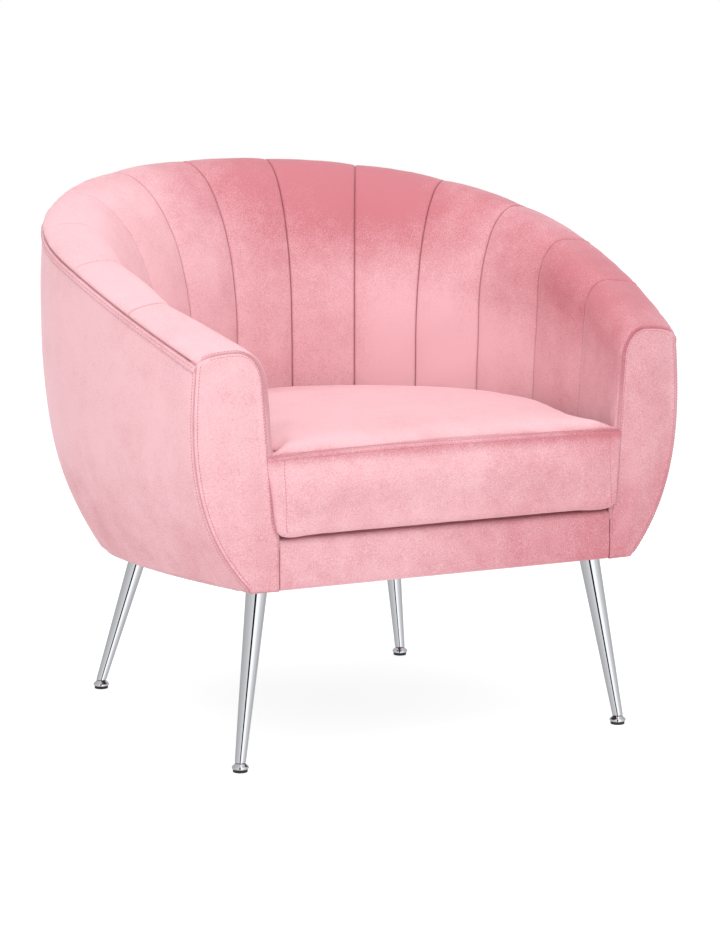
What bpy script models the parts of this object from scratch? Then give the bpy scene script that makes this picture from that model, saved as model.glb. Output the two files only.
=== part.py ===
"""A channel-back tub armchair on four splayed metal legs, one object for each real piece.

Metres, +Z up, the floor at z = 0, the front of the seat towards -Y and the origin under its middle.
The tub is described by the rim seam, which runs round its top from one arm front to the other.
A place on the tub is (u, depth, z): u is -1 at the left arm front, 0 at the middle of the back and
1 at the right arm front, and depth is measured inwards from the rim seam.
"""

import math

import bmesh
import bpy
import numpy as np
from mathutils import Vector

# Overall form of the tub
BODY_BOTTOM = 0.247
RIM_HALF_WIDTH = 0.418
RIM_BACK_REACH = 0.376
RIM_ROUNDNESS = 1.95
ARM_REACH = 0.330
ARM_TOE_IN = 0.435
RIM_BACK_HEIGHT = 0.756
RIM_FRONT_HEIGHT = 0.552
RIM_FALL_POWER = 2.08
RIM_FALL_EASE = 0.2
FRONT_OVERHANG = 0.032
PANEL_TURN = math.radians(7)

# Outer covers
OUTER_BULGE = 0.005
OUTER_TUCK_SIDE = 0.070
OUTER_TUCK_BACK = 0.086
OUTER_TUCK_POWER = 3.86
OUTER_THICKNESS = 0.006
COVER_HEM = 0.015
HEM_THICKNESS = 0.0025

# Channelled pads, at the arms and at the back
CHANNELS = 13
CHANNEL_CROWN = 0.009
TOP_WIDTH_ARM = 0.085
TOP_WIDTH_BACK = 0.160
INNER_DEPTH_ARM = 0.100
INNER_DEPTH_BACK = 0.164
CREST_RISE_ARM = 0.015
CREST_RISE_BACK = 0.018
CREST_SHARE_ARM = 0.6
CREST_SHARE_BACK = 0.15
ROLL_DROP_ARM = 0.045
ROLL_DROP_BACK = 0.250
PAD_OVER_RAIL = 0.018

# Arm front panels and the border under the seat
PANEL_DEPTH = 0.035
PANEL_FACE = 0.018
PANEL_WALL = 0.008
PANEL_EDGE = 0.006
PANEL_FOOT_DEPTH = 0.1055
PANEL_SET_BACK = math.radians(22)
BORDER_FACE = 0.012
BORDER_FLAP = 0.090
BORDER_FLAP_THICKNESS = 0.006
BORDER_EDGE = 0.006
BORDER_HEM = 0.035
BORDER_BOW = 0.002
BORDER_INNER_EASE = 0.002

# Timber frame
RAIL_HEIGHT = 0.034
DECK_THICKNESS = 0.0272
RAIL_THICKNESS = 0.030
TOP_RAIL_HEIGHT = 0.035
TOP_RAIL_THICKNESS = 0.027
RIB_THICKNESS = 0.015
RIB_WIDTH = 0.025
RIB_FOOT = 0.012
RIB_TOP_GAP = 0.005
PAD_OVER_RIB_FOOT = 0.0042
SIDE_RIB_U = 0.77
CORNER_RIB_U = 0.46
FRAME_CLEARANCE = 0.003

# Seat
STRAP_WIDTH = 0.050
STRAP_THICKNESS = 0.002
STRAP_PITCH = 0.080
STRAPS = 5
DUST_COVER_THICKNESS = 0.0015
DUST_COVER_INSET = 0.008
DUST_COVER_FRONT_INSET = 0.020
CUSHION_HEIGHT = 0.1145
CUSHION_LIFT = 0.0032
CUSHION_CROWN = 0.016
CUSHION_FRONT_BOTTOM = 0.257
CUSHION_FRONT_TOP = 0.264
CUSHION_FRONT_LEAN = 0.018
CUSHION_CORNER = 0.030
CUSHION_CLEARANCE = 0.004
CUSHION_TUCK = 0.012
CUSHION_LOW_EDGE = 0.010
CUSHION_HIGH_EDGE = 0.014
COVER_CLOTH = 0.002
ZIP_HEIGHT = 0.012
ZIP_REACH = 0.13
ZIP_SUNK = 0.0008
ZIP_SLOT_MARGIN = 0.0005
ZIP_SLOT_DEPTH = 0.010

# Legs and levelling glides
LEG_TOP_RADIUS = 0.0145
LEG_BOTTOM_RADIUS = 0.0075
LEG_WALL = 0.0015
LEG_TOE_HEIGHT = 0.018
PLATE_RADIUS = 0.022
PLATE_THICKNESS = 0.0025
PLATE_HOLES = 3
PLATE_HOLE_RADIUS = 0.0018
PLATE_HOLE_REACH = 0.0183
FRONT_FOOT = (0.298, -0.315)
FRONT_LEG_TOP = (0.261, -0.2925)
BACK_FOOT = (0.254, 0.2445)
BACK_LEG_TOP = (0.203, 0.190)
GLIDE_PAD_RADIUS = 0.0100
GLIDE_PAD_HEIGHT = 0.0037
GLIDE_PAD_EDGE = 0.0008
GLIDE_RIM_RADIUS = 0.0115
GLIDE_RIM_SHARE = 0.35
GLIDE_HEIGHT = 0.0125
GLIDE_STEM_LENGTH = 0.012
GLIDE_STEM_RADIUS = 0.0030

GAP = 0.0003
ROUND_STEPS = 24

# What follows from the sizes above
OVERALL_DEPTH = FRONT_OVERHANG + ARM_REACH + RIM_BACK_REACH + OUTER_BULGE
WIDEST_Y = OVERALL_DEPTH / 2 - RIM_BACK_REACH - OUTER_BULGE
RAIL_BOTTOM = BODY_BOTTOM + HEM_THICKNESS + FRAME_CLEARANCE
RAIL_TOP = RAIL_BOTTOM + RAIL_HEIGHT
PAD_BOTTOM = RAIL_TOP + RIB_FOOT + PAD_OVER_RIB_FOOT
DECK_BOTTOM = RAIL_TOP + STRAP_THICKNESS + 2 * GAP
BORDER_TOP = round(DECK_BOTTOM + DECK_THICKNESS, 6)
CUSHION_BOTTOM = BORDER_TOP + CUSHION_LIFT
CUSHION_EDGE_TOP = CUSHION_BOTTOM + CUSHION_HEIGHT
LEG_TOP = BODY_BOTTOM - DUST_COVER_THICKNESS - PLATE_THICKNESS - 3 * GAP
LEG_BOTTOM = GLIDE_HEIGHT + GAP
SEAM_POSITIONS = [-1 + 2 * i / CHANNELS for i in range(CHANNELS + 1)]


def clear_scene():
    for obj in list(bpy.data.objects):
        bpy.data.objects.remove(obj, do_unlink=True)


def make_material(name, colour, roughness, metallic=0.0):
    material = bpy.data.materials.new(name)
    material.use_nodes = True
    shader = material.node_tree.nodes["Principled BSDF"]
    shader.inputs["Base Color"].default_value = (*colour, 1)
    shader.inputs["Roughness"].default_value = roughness
    shader.inputs["Metallic"].default_value = metallic
    return material


def add_object(name, bm, material):
    bmesh.ops.recalc_face_normals(bm, faces=bm.faces)
    mesh = bpy.data.meshes.new(name)
    bm.to_mesh(mesh)
    bm.free()
    mesh.shade_smooth()
    mesh.set_sharp_from_angle(angle=math.radians(35))
    mesh.materials.append(material)
    obj = bpy.data.objects.new(name, mesh)
    bpy.context.scene.collection.objects.link(obj)
    return obj


def skin(rings):
    """A closed bmesh through closed rings of equally many points, with a flat cap at each end.

    The split of every four-sided face is fixed, so skins that run side by side stay parallel.
    """
    bm = bmesh.new()
    rows = [[bm.verts.new(point) for point in ring] for ring in rings]
    for row, following in zip(rows, rows[1:]):
        for i in range(len(row)):
            j = (i + 1) % len(row)
            bm.faces.new((row[i], row[j], following[j], following[i]))
    bm.faces.new(rows[0])
    bm.faces.new(rows[-1])
    bmesh.ops.triangulate(bm, faces=bm.faces, quad_method="FIXED", ngon_method="BEAUTY")
    return bm


def cut(obj, cutter):
    cutter.hide_render = True
    cutter.display_type = "WIRE"
    modifier = obj.modifiers.new("cut", "BOOLEAN")
    modifier.operation = "DIFFERENCE"
    modifier.solver = "EXACT"
    modifier.object = cutter


def mix(low, high, share):
    return low + (high - low) * share


def smooth_step(value, start, end):
    share = min(max((value - start) / (end - start), 0), 1)
    return share * share * (3 - 2 * share)


def between(back, arm, u):
    """A size that has one value round the back and another along the arms."""
    return mix(back, arm, smooth_step(abs(u), 0.3, 0.8))


def rim_curve():
    """The right half of the rim seam in plan, from the middle of the back to the arm front."""
    angle = np.linspace(math.pi / 2, 0, 400)
    power = 2 / RIM_ROUNDNESS
    back_x = RIM_HALF_WIDTH * np.cos(angle).clip(0) ** power
    back_y = WIDEST_Y + RIM_BACK_REACH * np.sin(angle).clip(0) ** power
    forward = np.linspace(0, ARM_REACH, 200)[1:]
    x = np.append(back_x, RIM_HALF_WIDTH - ARM_TOE_IN * forward**2)
    y = np.append(back_y, WIDEST_Y - forward)
    length = np.append(0, np.cumsum(np.hypot(np.diff(x), np.diff(y))))
    return x, y, length


RIM_X, RIM_Y, RIM_LENGTH = rim_curve()
HALF_LENGTH = float(RIM_LENGTH[-1])
GAP_U = GAP / HALF_LENGTH


def rim_point(u):
    at = abs(u) * HALF_LENGTH
    x = float(np.interp(at, RIM_LENGTH, RIM_X))
    return Vector((math.copysign(x, u), float(np.interp(at, RIM_LENGTH, RIM_Y))))


def rim_height(u):
    share = abs(u)
    fall = (1 + RIM_FALL_EASE) * share**RIM_FALL_POWER - RIM_FALL_EASE * share**4
    return mix(RIM_BACK_HEIGHT, RIM_FRONT_HEIGHT, fall)


def forward_at(u):
    """The direction in plan of growing u."""
    step = 0.002
    low = max(u - step, -1)
    high = min(u + step, 1)
    return (rim_point(high) - rim_point(low)).normalized()


def inward_at(u):
    """The direction of growing depth, as long as makes depth square to the rim.

    Within the last channel it turns from square to the rim to the line of the arm front panel.
    """
    forward = forward_at(u)
    square = Vector((forward.y, -forward.x))
    panel = Vector((-math.copysign(math.cos(PANEL_TURN), u), -math.sin(PANEL_TURN)))
    share = smooth_step(abs(u), SEAM_POSITIONS[-2], PANEL_BACK_U)
    direction = square.lerp(panel, share).normalized()
    return direction / direction.dot(square)


PANEL_BACK_U = 1 - PANEL_DEPTH / math.cos(PANEL_SET_BACK) / HALF_LENGTH
SEAMS = [min(max(u, -PANEL_BACK_U), PANEL_BACK_U) for u in SEAM_POSITIONS]


def place(u, depth, z):
    x, y = rim_point(u) + inward_at(u) * depth
    return Vector((x, y, z))


def outer_depth(u, z):
    """Depth of the outer surface, which bulges past the seam and tucks in under the seat."""
    share = min(max((z - BODY_BOTTOM) / (rim_height(u) - BODY_BOTTOM), 0), 1)
    tuck = between(OUTER_TUCK_BACK, OUTER_TUCK_SIDE, u) * (1 - share) ** OUTER_TUCK_POWER
    return tuck - OUTER_BULGE * math.sin(math.pi * share**1.5)


def outer_heights(u, steps=9):
    """Heights from the rim down to the bottom, closer together towards the bottom."""
    rise = rim_height(u) - BODY_BOTTOM
    return [BODY_BOTTOM + rise * (1 - i / steps) ** 1.5 for i in range(steps + 1)]


def inner_depth(u, z, crown=0.0):
    """Depth of the pads' inner face below their rolled top."""
    top = between(TOP_WIDTH_BACK, TOP_WIDTH_ARM, u)
    low = between(INNER_DEPTH_BACK, INNER_DEPTH_ARM, u)
    roll_end = top_roll_end(u)
    share = min(max((roll_end - z) / (roll_end - BORDER_TOP), 0), 1)
    return mix(top, low, share) + crown


def top_roll_end(u):
    rise = between(CREST_RISE_BACK, CREST_RISE_ARM, u)
    return rim_height(u) + rise - between(ROLL_DROP_BACK, ROLL_DROP_ARM, u)


def top_roll(u, crown=0.0, rising=3, falling=5):
    """(depth, z) over the top of a pad, from the rim seam to where the inner face starts."""
    width = between(TOP_WIDTH_BACK, TOP_WIDTH_ARM, u)
    rise = between(CREST_RISE_BACK, CREST_RISE_ARM, u)
    crest = between(CREST_SHARE_BACK, CREST_SHARE_ARM, u) * width
    drop = between(ROLL_DROP_BACK, ROLL_DROP_ARM, u)
    rim = rim_height(u)
    points = []
    for i in range(rising + 1):
        angle = math.pi / 2 * i / rising
        points.append((crest * (1 - math.cos(angle)), rim + rise * math.sin(angle)))
    for i in range(1, falling + 1):
        angle = math.pi / 2 * i / falling
        depth = crest + (width - crest) * math.sin(angle) + crown * math.sin(angle)
        z = rim + rise - drop * (1 - math.cos(angle)) + crown * math.sin(angle) * math.cos(angle)
        points.append((depth, z))
    return points


def rib_outer_depth(u, z):
    return outer_depth(u, z) + OUTER_THICKNESS + FRAME_CLEARANCE


def pad_back_depth(u, z):
    return rib_outer_depth(u, z) + TOP_RAIL_THICKNESS + FRAME_CLEARANCE


def pad_ring(u, crown):
    """Outline of a channelled pad, which hooks over the top rail and hangs down inside it."""
    rim = rim_height(u)
    lip = OUTER_THICKNESS + 2 * GAP
    under = rim - PAD_OVER_RAIL
    roll_end = top_roll_end(u)
    ring = [(depth, z + 2 * GAP) for depth, z in top_roll(u, crown)]
    for share in (0.35, 0.7, 1):
        z = mix(roll_end, PAD_BOTTOM, share)
        ring.append((inner_depth(u, z, crown), z))
    for share in (0, 0.15, 0.35, 0.7, 1):
        z = mix(PAD_BOTTOM, under, share)
        ring.append((pad_back_depth(u, z), z))
    ring.append((lip, under))
    ring.append((lip, rim + 2 * GAP))
    return ring


def tub_loft(name, stations, ring_at, material):
    """A solid through the rings of (depth, z) that ring_at gives at each u."""
    rings = [[place(u, depth, z) for depth, z in ring_at(u)] for u in stations]
    return add_object(name, skin(rings), material)


def stations_between(first, last):
    """Every seam and channel middle from seam number first to seam number last, with end gaps."""
    found = []
    for i in range(first, last):
        found += [SEAMS[i], (SEAMS[i] + SEAMS[i + 1]) / 2]
    found.append(SEAMS[last])
    found[0] += 2 * GAP_U
    found[-1] -= 2 * GAP_U
    return found


def make_pads(material):
    for i in range(CHANNELS):
        stations = stations_between(i, i + 1)
        middle = stations[1]

        def ring_at(u, middle=middle):
            return pad_ring(u, CHANNEL_CROWN if u == middle else 0.0)

        tub_loft(f"channel_pad_{i + 1:02d}", stations, ring_at, material)


def outer_ring(u):
    outside = [(outer_depth(u, z), z) for z in outer_heights(u)]
    floor = outside[-1][0]
    hem_top = BODY_BOTTOM + HEM_THICKNESS
    hem = [(floor + COVER_HEM, BODY_BOTTOM), (floor + COVER_HEM, hem_top)]
    inside = []
    for z in reversed(outer_heights(u)[:-1]):
        inside.append((outer_depth(u, z) + OUTER_THICKNESS, z))
    inside.insert(0, (outer_depth(u, hem_top) + OUTER_THICKNESS, hem_top))
    return outside + hem + inside


def make_outer_covers(material):
    corner = 4
    spans = {
        "outer_cover_left": (0, corner),
        "outer_cover_back": (corner, CHANNELS - corner),
        "outer_cover_right": (CHANNELS - corner, CHANNELS),
    }
    for name, (first, last) in spans.items():
        tub_loft(name, stations_between(first, last), outer_ring, material)


def panel_outline(u):
    """(depth, z) round an arm front, from the foot of its outer edge over the top to its inner foot."""
    outside = [(outer_depth(u, z), z) for z in reversed(outer_heights(u)[1:])]
    inside_top = top_roll_end(u)
    inside = []
    for share in (0.3, 0.65, 1):
        z = mix(inside_top, BORDER_TOP + 0.02, share)
        inside.append((inner_depth(u, z), z))
    foot = [(PANEL_FOOT_DEPTH, BORDER_TOP), (PANEL_FOOT_DEPTH, BODY_BOTTOM)]
    return outside + top_roll(u) + inside + foot


def inset_outline(outline, distance):
    """The outline moved inwards by distance, each point along the line that halves its corner."""
    moved = []
    for i, point in enumerate(outline):
        before = Vector(outline[i - 1])
        here = Vector(point)
        after = Vector(outline[(i + 1) % len(outline)])
        first = (here - before).normalized()
        second = (after - here).normalized()
        turn = Vector((first.y + second.y, -first.x - second.x))
        half = turn.normalized()
        stretch = max(half.dot(Vector((first.y, -first.x))), 0.5)
        moved.append(here + half * distance / stretch)
    return moved


def panel_place(side, back, depth, z):
    """A point of the arm front, back metres behind its face along the arm."""
    u = side * (1 - back / HALF_LENGTH)
    inward = inward_at(side)
    x, y = rim_point(u) + inward * depth
    return Vector((x, y, z))


def panel_ring(side, back, inset):
    u = 1 - back / HALF_LENGTH
    outline = inset_outline(panel_outline(u), inset)
    return [panel_place(side, back, depth, z) for depth, z in outline]


def make_arm_fronts(cover, timber):
    reach = (1 - PANEL_BACK_U) * HALF_LENGTH - GAP
    for side, word in ((-1, "left"), (1, "right")):
        rings = [
            panel_ring(side, 0, PANEL_EDGE),
            panel_ring(side, PANEL_EDGE, 0),
            panel_ring(side, reach, 0),
            panel_ring(side, reach, PANEL_WALL),
            panel_ring(side, PANEL_FACE, PANEL_WALL),
        ]
        add_object(f"arm_front_panel_{word}", skin(rings), cover)
        board = [
            panel_ring(side, PANEL_FACE + GAP, PANEL_WALL + 2 * GAP),
            panel_ring(side, reach, PANEL_WALL + 2 * GAP),
        ]
        add_object(f"arm_board_{word}", skin(board), timber)


def border_front():
    """Where the seat border's face meets the foot of an arm front panel: (half width, y)."""
    corner = panel_place(1, 0, PANEL_FOOT_DEPTH, 0)
    return corner.x, corner.y


def box_rings(low, high):
    rings = []
    for z in (low[2], high[2]):
        corners = ((low[0], low[1]), (high[0], low[1]), (high[0], high[1]), (low[0], high[1]))
        rings.append([Vector((x, y, z)) for x, y in corners])
    return rings


def border_outline(front):
    """(y, z) round the border's section: a padded face, a flap over the rail and a hem under it."""
    face = front + BORDER_FACE
    flap_end = border_front()[1] + BORDER_FLAP
    flap_low = BORDER_TOP - BORDER_FLAP_THICKNESS
    hem_top = BODY_BOTTOM + HEM_THICKNESS
    hem_end = front + BORDER_HEM
    eased = 0.3 * BORDER_EDGE
    return [
        (front + BORDER_EDGE, BODY_BOTTOM),
        (front + eased, BODY_BOTTOM + eased),
        (front, BODY_BOTTOM + BORDER_EDGE),
        (front, BORDER_TOP - BORDER_EDGE),
        (front + eased, BORDER_TOP - eased),
        (front + BORDER_EDGE, BORDER_TOP),
        (flap_end, BORDER_TOP),
        (flap_end, flap_low),
        (face, flap_low),
        (face + BORDER_INNER_EASE, hem_top + BORDER_INNER_EASE / 2),
        (hem_end, hem_top),
        (hem_end, BODY_BOTTOM),
    ]


def make_border(material):
    """The cover of the front rail, bowed a little forwards in the middle."""
    half_width, front = border_front()
    half_width -= 2 * GAP
    rings = []
    for share in (-1, -0.5, 0, 0.5, 1):
        outline = border_outline(front - BORDER_BOW * (1 - share**2))
        rings.append([Vector((share * half_width, y, z)) for y, z in outline])
    add_object("seat_front_border", skin(rings), material)


def rail_depths(u):
    outer = between(OUTER_TUCK_BACK, OUTER_TUCK_SIDE, u) + OUTER_THICKNESS + FRAME_CLEARANCE
    return outer, outer + RAIL_THICKNESS


def seat_rail_ring(u):
    outer, inner = rail_depths(u)
    return [(outer, RAIL_BOTTOM), (outer, RAIL_TOP), (inner, RAIL_TOP), (inner, RAIL_BOTTOM)]


def top_rail_ring(u):
    top = rim_height(u) - PAD_OVER_RAIL - FRAME_CLEARANCE
    low = top - TOP_RAIL_HEIGHT
    outer = OUTER_THICKNESS + FRAME_CLEARANCE
    inner = outer + TOP_RAIL_THICKNESS - OUTER_BULGE
    return [(outer, low), (outer, top), (inner, top), (inner, low)]


def make_frame(timber):
    corner = 4
    tub_loft("seat_rail_left", stations_between(0, corner), seat_rail_ring, timber)
    back = stations_between(corner, CHANNELS - corner)
    tub_loft("seat_rail_back", back, seat_rail_ring, timber)
    right = stations_between(CHANNELS - corner, CHANNELS)
    tub_loft("seat_rail_right", right, seat_rail_ring, timber)
    tub_loft("top_rail", stations_between(0, CHANNELS), top_rail_ring, timber)
    make_front_rail(timber)
    for side, word in ((-1, "left"), (1, "right")):
        make_rib(f"side_rib_{word}", side * SIDE_RIB_U, timber)
        make_rib(f"corner_rib_{word}", side * CORNER_RIB_U, timber)
        make_rib(f"back_rib_{word}", side * back_rib_u(), timber)


def back_rib_u():
    """Where a rib's foot stands midway between the middle strap and the next one."""
    reaches = [CORNER_RIB_U * i / 20 for i in range(21)]
    feet = [place(u, rail_depths(u)[1], 0).x for u in reaches]
    return float(np.interp(STRAP_PITCH / 2, feet, reaches))


def make_front_rail(timber):
    front = border_front()[1] + BORDER_FACE + BORDER_INNER_EASE + GAP
    back = front + RAIL_THICKNESS
    half_width = border_front()[0] - FRAME_CLEARANCE
    rings = box_rings((-half_width, front, RAIL_BOTTOM), (half_width, back, RAIL_TOP))
    add_object("seat_rail_front", skin(rings), timber)


def make_rib(name, u, timber):
    """A flat plywood rib square to the rim, standing on the seat rail and carrying the top rail."""
    top = rim_height(u) - PAD_OVER_RAIL - FRAME_CLEARANCE - TOP_RAIL_HEIGHT - RIB_TOP_GAP
    foot = RAIL_TOP + GAP
    foot_top = foot + RIB_FOOT
    toe = rail_depths(u)[1]
    sections = [(foot, toe), (mix(foot, foot_top, 0.7), toe)]
    for share in (0, 0.1, 0.22, 0.4, 0.7, 1):
        z = mix(foot_top, top, share)
        sections.append((z, rib_outer_depth(u, z) + RIB_WIDTH))
    along = forward_at(u).to_3d() * RIB_THICKNESS / 2
    rings = []
    for z, inner in sections:
        outside = place(u, rib_outer_depth(u, z), z)
        inside = place(u, inner, z)
        rings.append([outside - along, outside + along, inside + along, inside - along])
    add_object(name, skin(rings), timber)


def depth_line(depth_at, last, steps=16):
    """Plan points at a given depth from the left arm round to the right, between u = -last and last."""
    found = []
    for i in range(2 * steps + 1):
        u = last * (i / steps - 1)
        found.append(place(u, depth_at(u), 0).to_2d())
    return found


def make_straps(material):
    """Elastic webbing from the front rail to the back rail."""
    front = border_front()[1] + BORDER_FACE + RAIL_THICKNESS / 3
    line = depth_line(lambda u: rail_depths(u)[0] + RAIL_THICKNESS / 2, SEAMS[-5])
    low = RAIL_TOP + GAP
    for i in range(STRAPS):
        x = STRAP_PITCH * (i - (STRAPS - 1) / 2)
        ends = []
        for edge in (x - STRAP_WIDTH / 2, x + STRAP_WIDTH / 2):
            ends.append(float(np.interp(edge, [p.x for p in line], [p.y for p in line])))
        back = min(ends)
        rings = box_rings(
            (x - STRAP_WIDTH / 2, front, low),
            (x + STRAP_WIDTH / 2, back, low + STRAP_THICKNESS),
        )
        add_object(f"seat_strap_{i + 1}", skin(rings), material)


def make_deck(material):
    """The foam-backed cloth deck inside the pads, on the webbing and behind the front border."""
    front = border_front()[1] + BORDER_FLAP + 2 * GAP

    def depth_at(u):
        return max(inner_depth(u, BORDER_TOP) + CHANNEL_CROWN, rail_depths(u)[1]) + FRAME_CLEARANCE

    line = [p for p in depth_line(depth_at, PANEL_BACK_U, 20) if p.y > front + FRAME_CLEARANCE]
    half_width = line[-1].x
    outline = line + [Vector((half_width, front)), Vector((-half_width, front))]
    rings = [[p.to_3d() + Vector((0, 0, z)) for p in outline] for z in (DECK_BOTTOM, BORDER_TOP)]
    add_object("seat_deck", skin(rings), material)


def corner_places():
    """(name, foot, leg top) of each leg in plan."""
    found = []
    for end, foot, top in (("front", FRONT_FOOT, FRONT_LEG_TOP), ("back", BACK_FOOT, BACK_LEG_TOP)):
        for side, word in ((-1, "left"), (1, "right")):
            foot_at = Vector((side * foot[0], foot[1]))
            top_at = Vector((side * top[0], top[1]))
            found.append((f"{end}_{word}", foot_at, top_at))
    return found


def circle(centre, z, radius, steps=ROUND_STEPS):
    angles = [2 * math.pi * i / steps for i in range(steps)]
    return [
        Vector((centre.x + radius * math.cos(a), centre.y + radius * math.sin(a), z))
        for a in angles
    ]


def make_dust_cover(material):
    low = BODY_BOTTOM - DUST_COVER_THICKNESS - GAP
    front = border_front()[1] + DUST_COVER_FRONT_INSET

    def depth_at(u):
        return outer_depth(u, BODY_BOTTOM) + DUST_COVER_INSET

    line = [p for p in depth_line(depth_at, PANEL_BACK_U, 20) if p.y > front + FRAME_CLEARANCE]
    inner_x = border_front()[0] + DUST_COVER_INSET
    outline = line + [Vector((inner_x, front)), Vector((-inner_x, front))]
    levels = (low, low + DUST_COVER_THICKNESS)
    rings = [[p.to_3d() + Vector((0, 0, z)) for p in outline] for z in levels]
    add_object("dust_cover", skin(rings), material)


def make_legs(chrome, steel, rubber):
    for name, foot, top in corner_places():
        make_leg(name, foot, top, chrome)
        make_leg_plate(name, top, steel)
        make_glide(name, foot, chrome, rubber)


def make_leg(name, foot, top, chrome):
    """A tapered tube leaning from foot to top, open under its plate, with a solid threaded toe."""
    def centre(z):
        return foot.lerp(top, (z - LEG_BOTTOM) / (LEG_TOP - LEG_BOTTOM))

    def radius(z):
        return mix(LEG_BOTTOM_RADIUS, LEG_TOP_RADIUS, (z - LEG_BOTTOM) / (LEG_TOP - LEG_BOTTOM))

    toe = LEG_BOTTOM + LEG_TOE_HEIGHT
    bore = GLIDE_STEM_RADIUS + GAP
    bore_top = GLIDE_HEIGHT + GLIDE_STEM_LENGTH + GAP
    rings = [
        circle(centre(toe), toe, radius(toe) - LEG_WALL),
        circle(top, LEG_TOP, LEG_TOP_RADIUS - LEG_WALL),
        circle(top, LEG_TOP, LEG_TOP_RADIUS),
        circle(foot, LEG_BOTTOM, LEG_BOTTOM_RADIUS),
        circle(foot, LEG_BOTTOM, bore),
        circle(foot, bore_top, bore),
    ]
    add_object(f"leg_{name}", skin(rings), chrome)


def make_leg_plate(name, top, steel):
    """The round plate on a leg's top, with screw holes round its edge."""
    low = LEG_TOP + GAP
    high = low + PLATE_THICKNESS
    rings = [circle(top, z, PLATE_RADIUS) for z in (low, high)]
    plate = add_object(f"leg_plate_{name}", skin(rings), steel)
    for i in range(PLATE_HOLES):
        angle = 2 * math.pi * (i + 0.5) / PLATE_HOLES
        hole_at = top + Vector((math.cos(angle), math.sin(angle))) * PLATE_HOLE_REACH
        ends = (low - PLATE_THICKNESS, high + PLATE_THICKNESS)
        hole = skin([circle(hole_at, z, PLATE_HOLE_RADIUS, 8) for z in ends])
        cut(plate, add_object(f"screw_hole_{name}_{i + 1}", hole, steel))


def make_glide(name, foot, chrome, rubber):
    cone_low = GLIDE_PAD_HEIGHT + GAP
    rings = [
        circle(foot, cone_low, GLIDE_PAD_RADIUS - GLIDE_PAD_EDGE),
        circle(foot, mix(cone_low, GLIDE_HEIGHT, GLIDE_RIM_SHARE), GLIDE_RIM_RADIUS),
        circle(foot, GLIDE_HEIGHT, LEG_BOTTOM_RADIUS - GLIDE_PAD_EDGE),
        circle(foot, GLIDE_HEIGHT, GLIDE_STEM_RADIUS),
        circle(foot, GLIDE_HEIGHT + GLIDE_STEM_LENGTH, GLIDE_STEM_RADIUS),
    ]
    add_object(f"glide_{name}", skin(rings), chrome)
    pad = [
        circle(foot, 0, GLIDE_PAD_RADIUS - GLIDE_PAD_EDGE),
        circle(foot, GLIDE_PAD_EDGE, GLIDE_PAD_RADIUS),
        circle(foot, GLIDE_PAD_HEIGHT, GLIDE_PAD_RADIUS),
    ]
    add_object(f"glide_pad_{name}", skin(pad), rubber)


def cushion_side_depth(u, share):
    """Depth of the cushion's side at a share of its height: clear of the pads at every lift."""
    z = mix(CUSHION_BOTTOM, CUSHION_EDGE_TOP, share)
    widest = inner_depth(u, BORDER_TOP) - CUSHION_TUCK
    return max(inner_depth(u, z), widest) + CHANNEL_CROWN + CUSHION_CLEARANCE


def cushion_outline(share):
    """The cushion in plan at a share of its height, wrapping the tub and squared off in front."""
    last = SEAMS[-2]
    sides = depth_line(lambda u: cushion_side_depth(u, share), last, 11)
    half_front = mix(CUSHION_FRONT_BOTTOM, CUSHION_FRONT_TOP, share)
    front = -OVERALL_DEPTH / 2 + CUSHION_FRONT_LEAN * share
    corner = CUSHION_CORNER
    right = []
    for i in range(5):
        angle = math.pi / 2 * i / 4
        x = half_front - corner + corner * math.cos(angle)
        y = front + corner - corner * math.sin(angle)
        right.append(Vector((x, y)))
    left = [Vector((-p.x, p.y)) for p in reversed(right)]
    return sides + right + left


def outset_plan(points, distance):
    """Plan outline moved outwards; it runs clockwise seen from above."""
    return [Vector(p) for p in inset_outline([tuple(p) for p in points], -distance)]


def cushion_rings(grow):
    """Rings of the cushion from its flat underside to its crowned top, all grown by one distance."""
    low = CUSHION_BOTTOM + COVER_CLOTH
    edge = CUSHION_EDGE_TOP
    levels = (
        (low - grow, 0, 0.97),
        (low + CUSHION_LOW_EDGE, 0.05, 1),
        (edge - CUSHION_HIGH_EDGE, 0.95, 1),
        (edge + grow, 1, 0.96),
        (edge + 0.5 * CUSHION_CROWN + grow, 1, 0.80),
        (edge + CUSHION_CROWN + grow, 1, 0.45),
    )
    rings = []
    for z, share, size in levels:
        outline = outset_plan(cushion_outline(share), grow - COVER_CLOTH)
        middle = sum(outline, Vector((0, 0))) / len(outline)
        ring = [middle.lerp(point, size) for point in outline]
        rings.append([p.to_3d() + Vector((0, 0, z)) for p in ring])
    return rings


def zip_ring(margin, outside, inside):
    """Section of the zip, or of the slot that it lies in: margin wider, and out and in of the cloth."""
    middle = mix(CUSHION_BOTTOM, CUSHION_EDGE_TOP, 0.5)
    low = middle - ZIP_HEIGHT / 2 - margin
    high = middle + ZIP_HEIGHT / 2 + margin

    def ring_at(u):
        depth = cushion_side_depth(u, 0.5)
        outer = depth - outside
        inner = depth + COVER_CLOTH + inside
        return [(outer, low), (outer, high), (inner, high), (inner, low)]

    return ring_at


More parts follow.
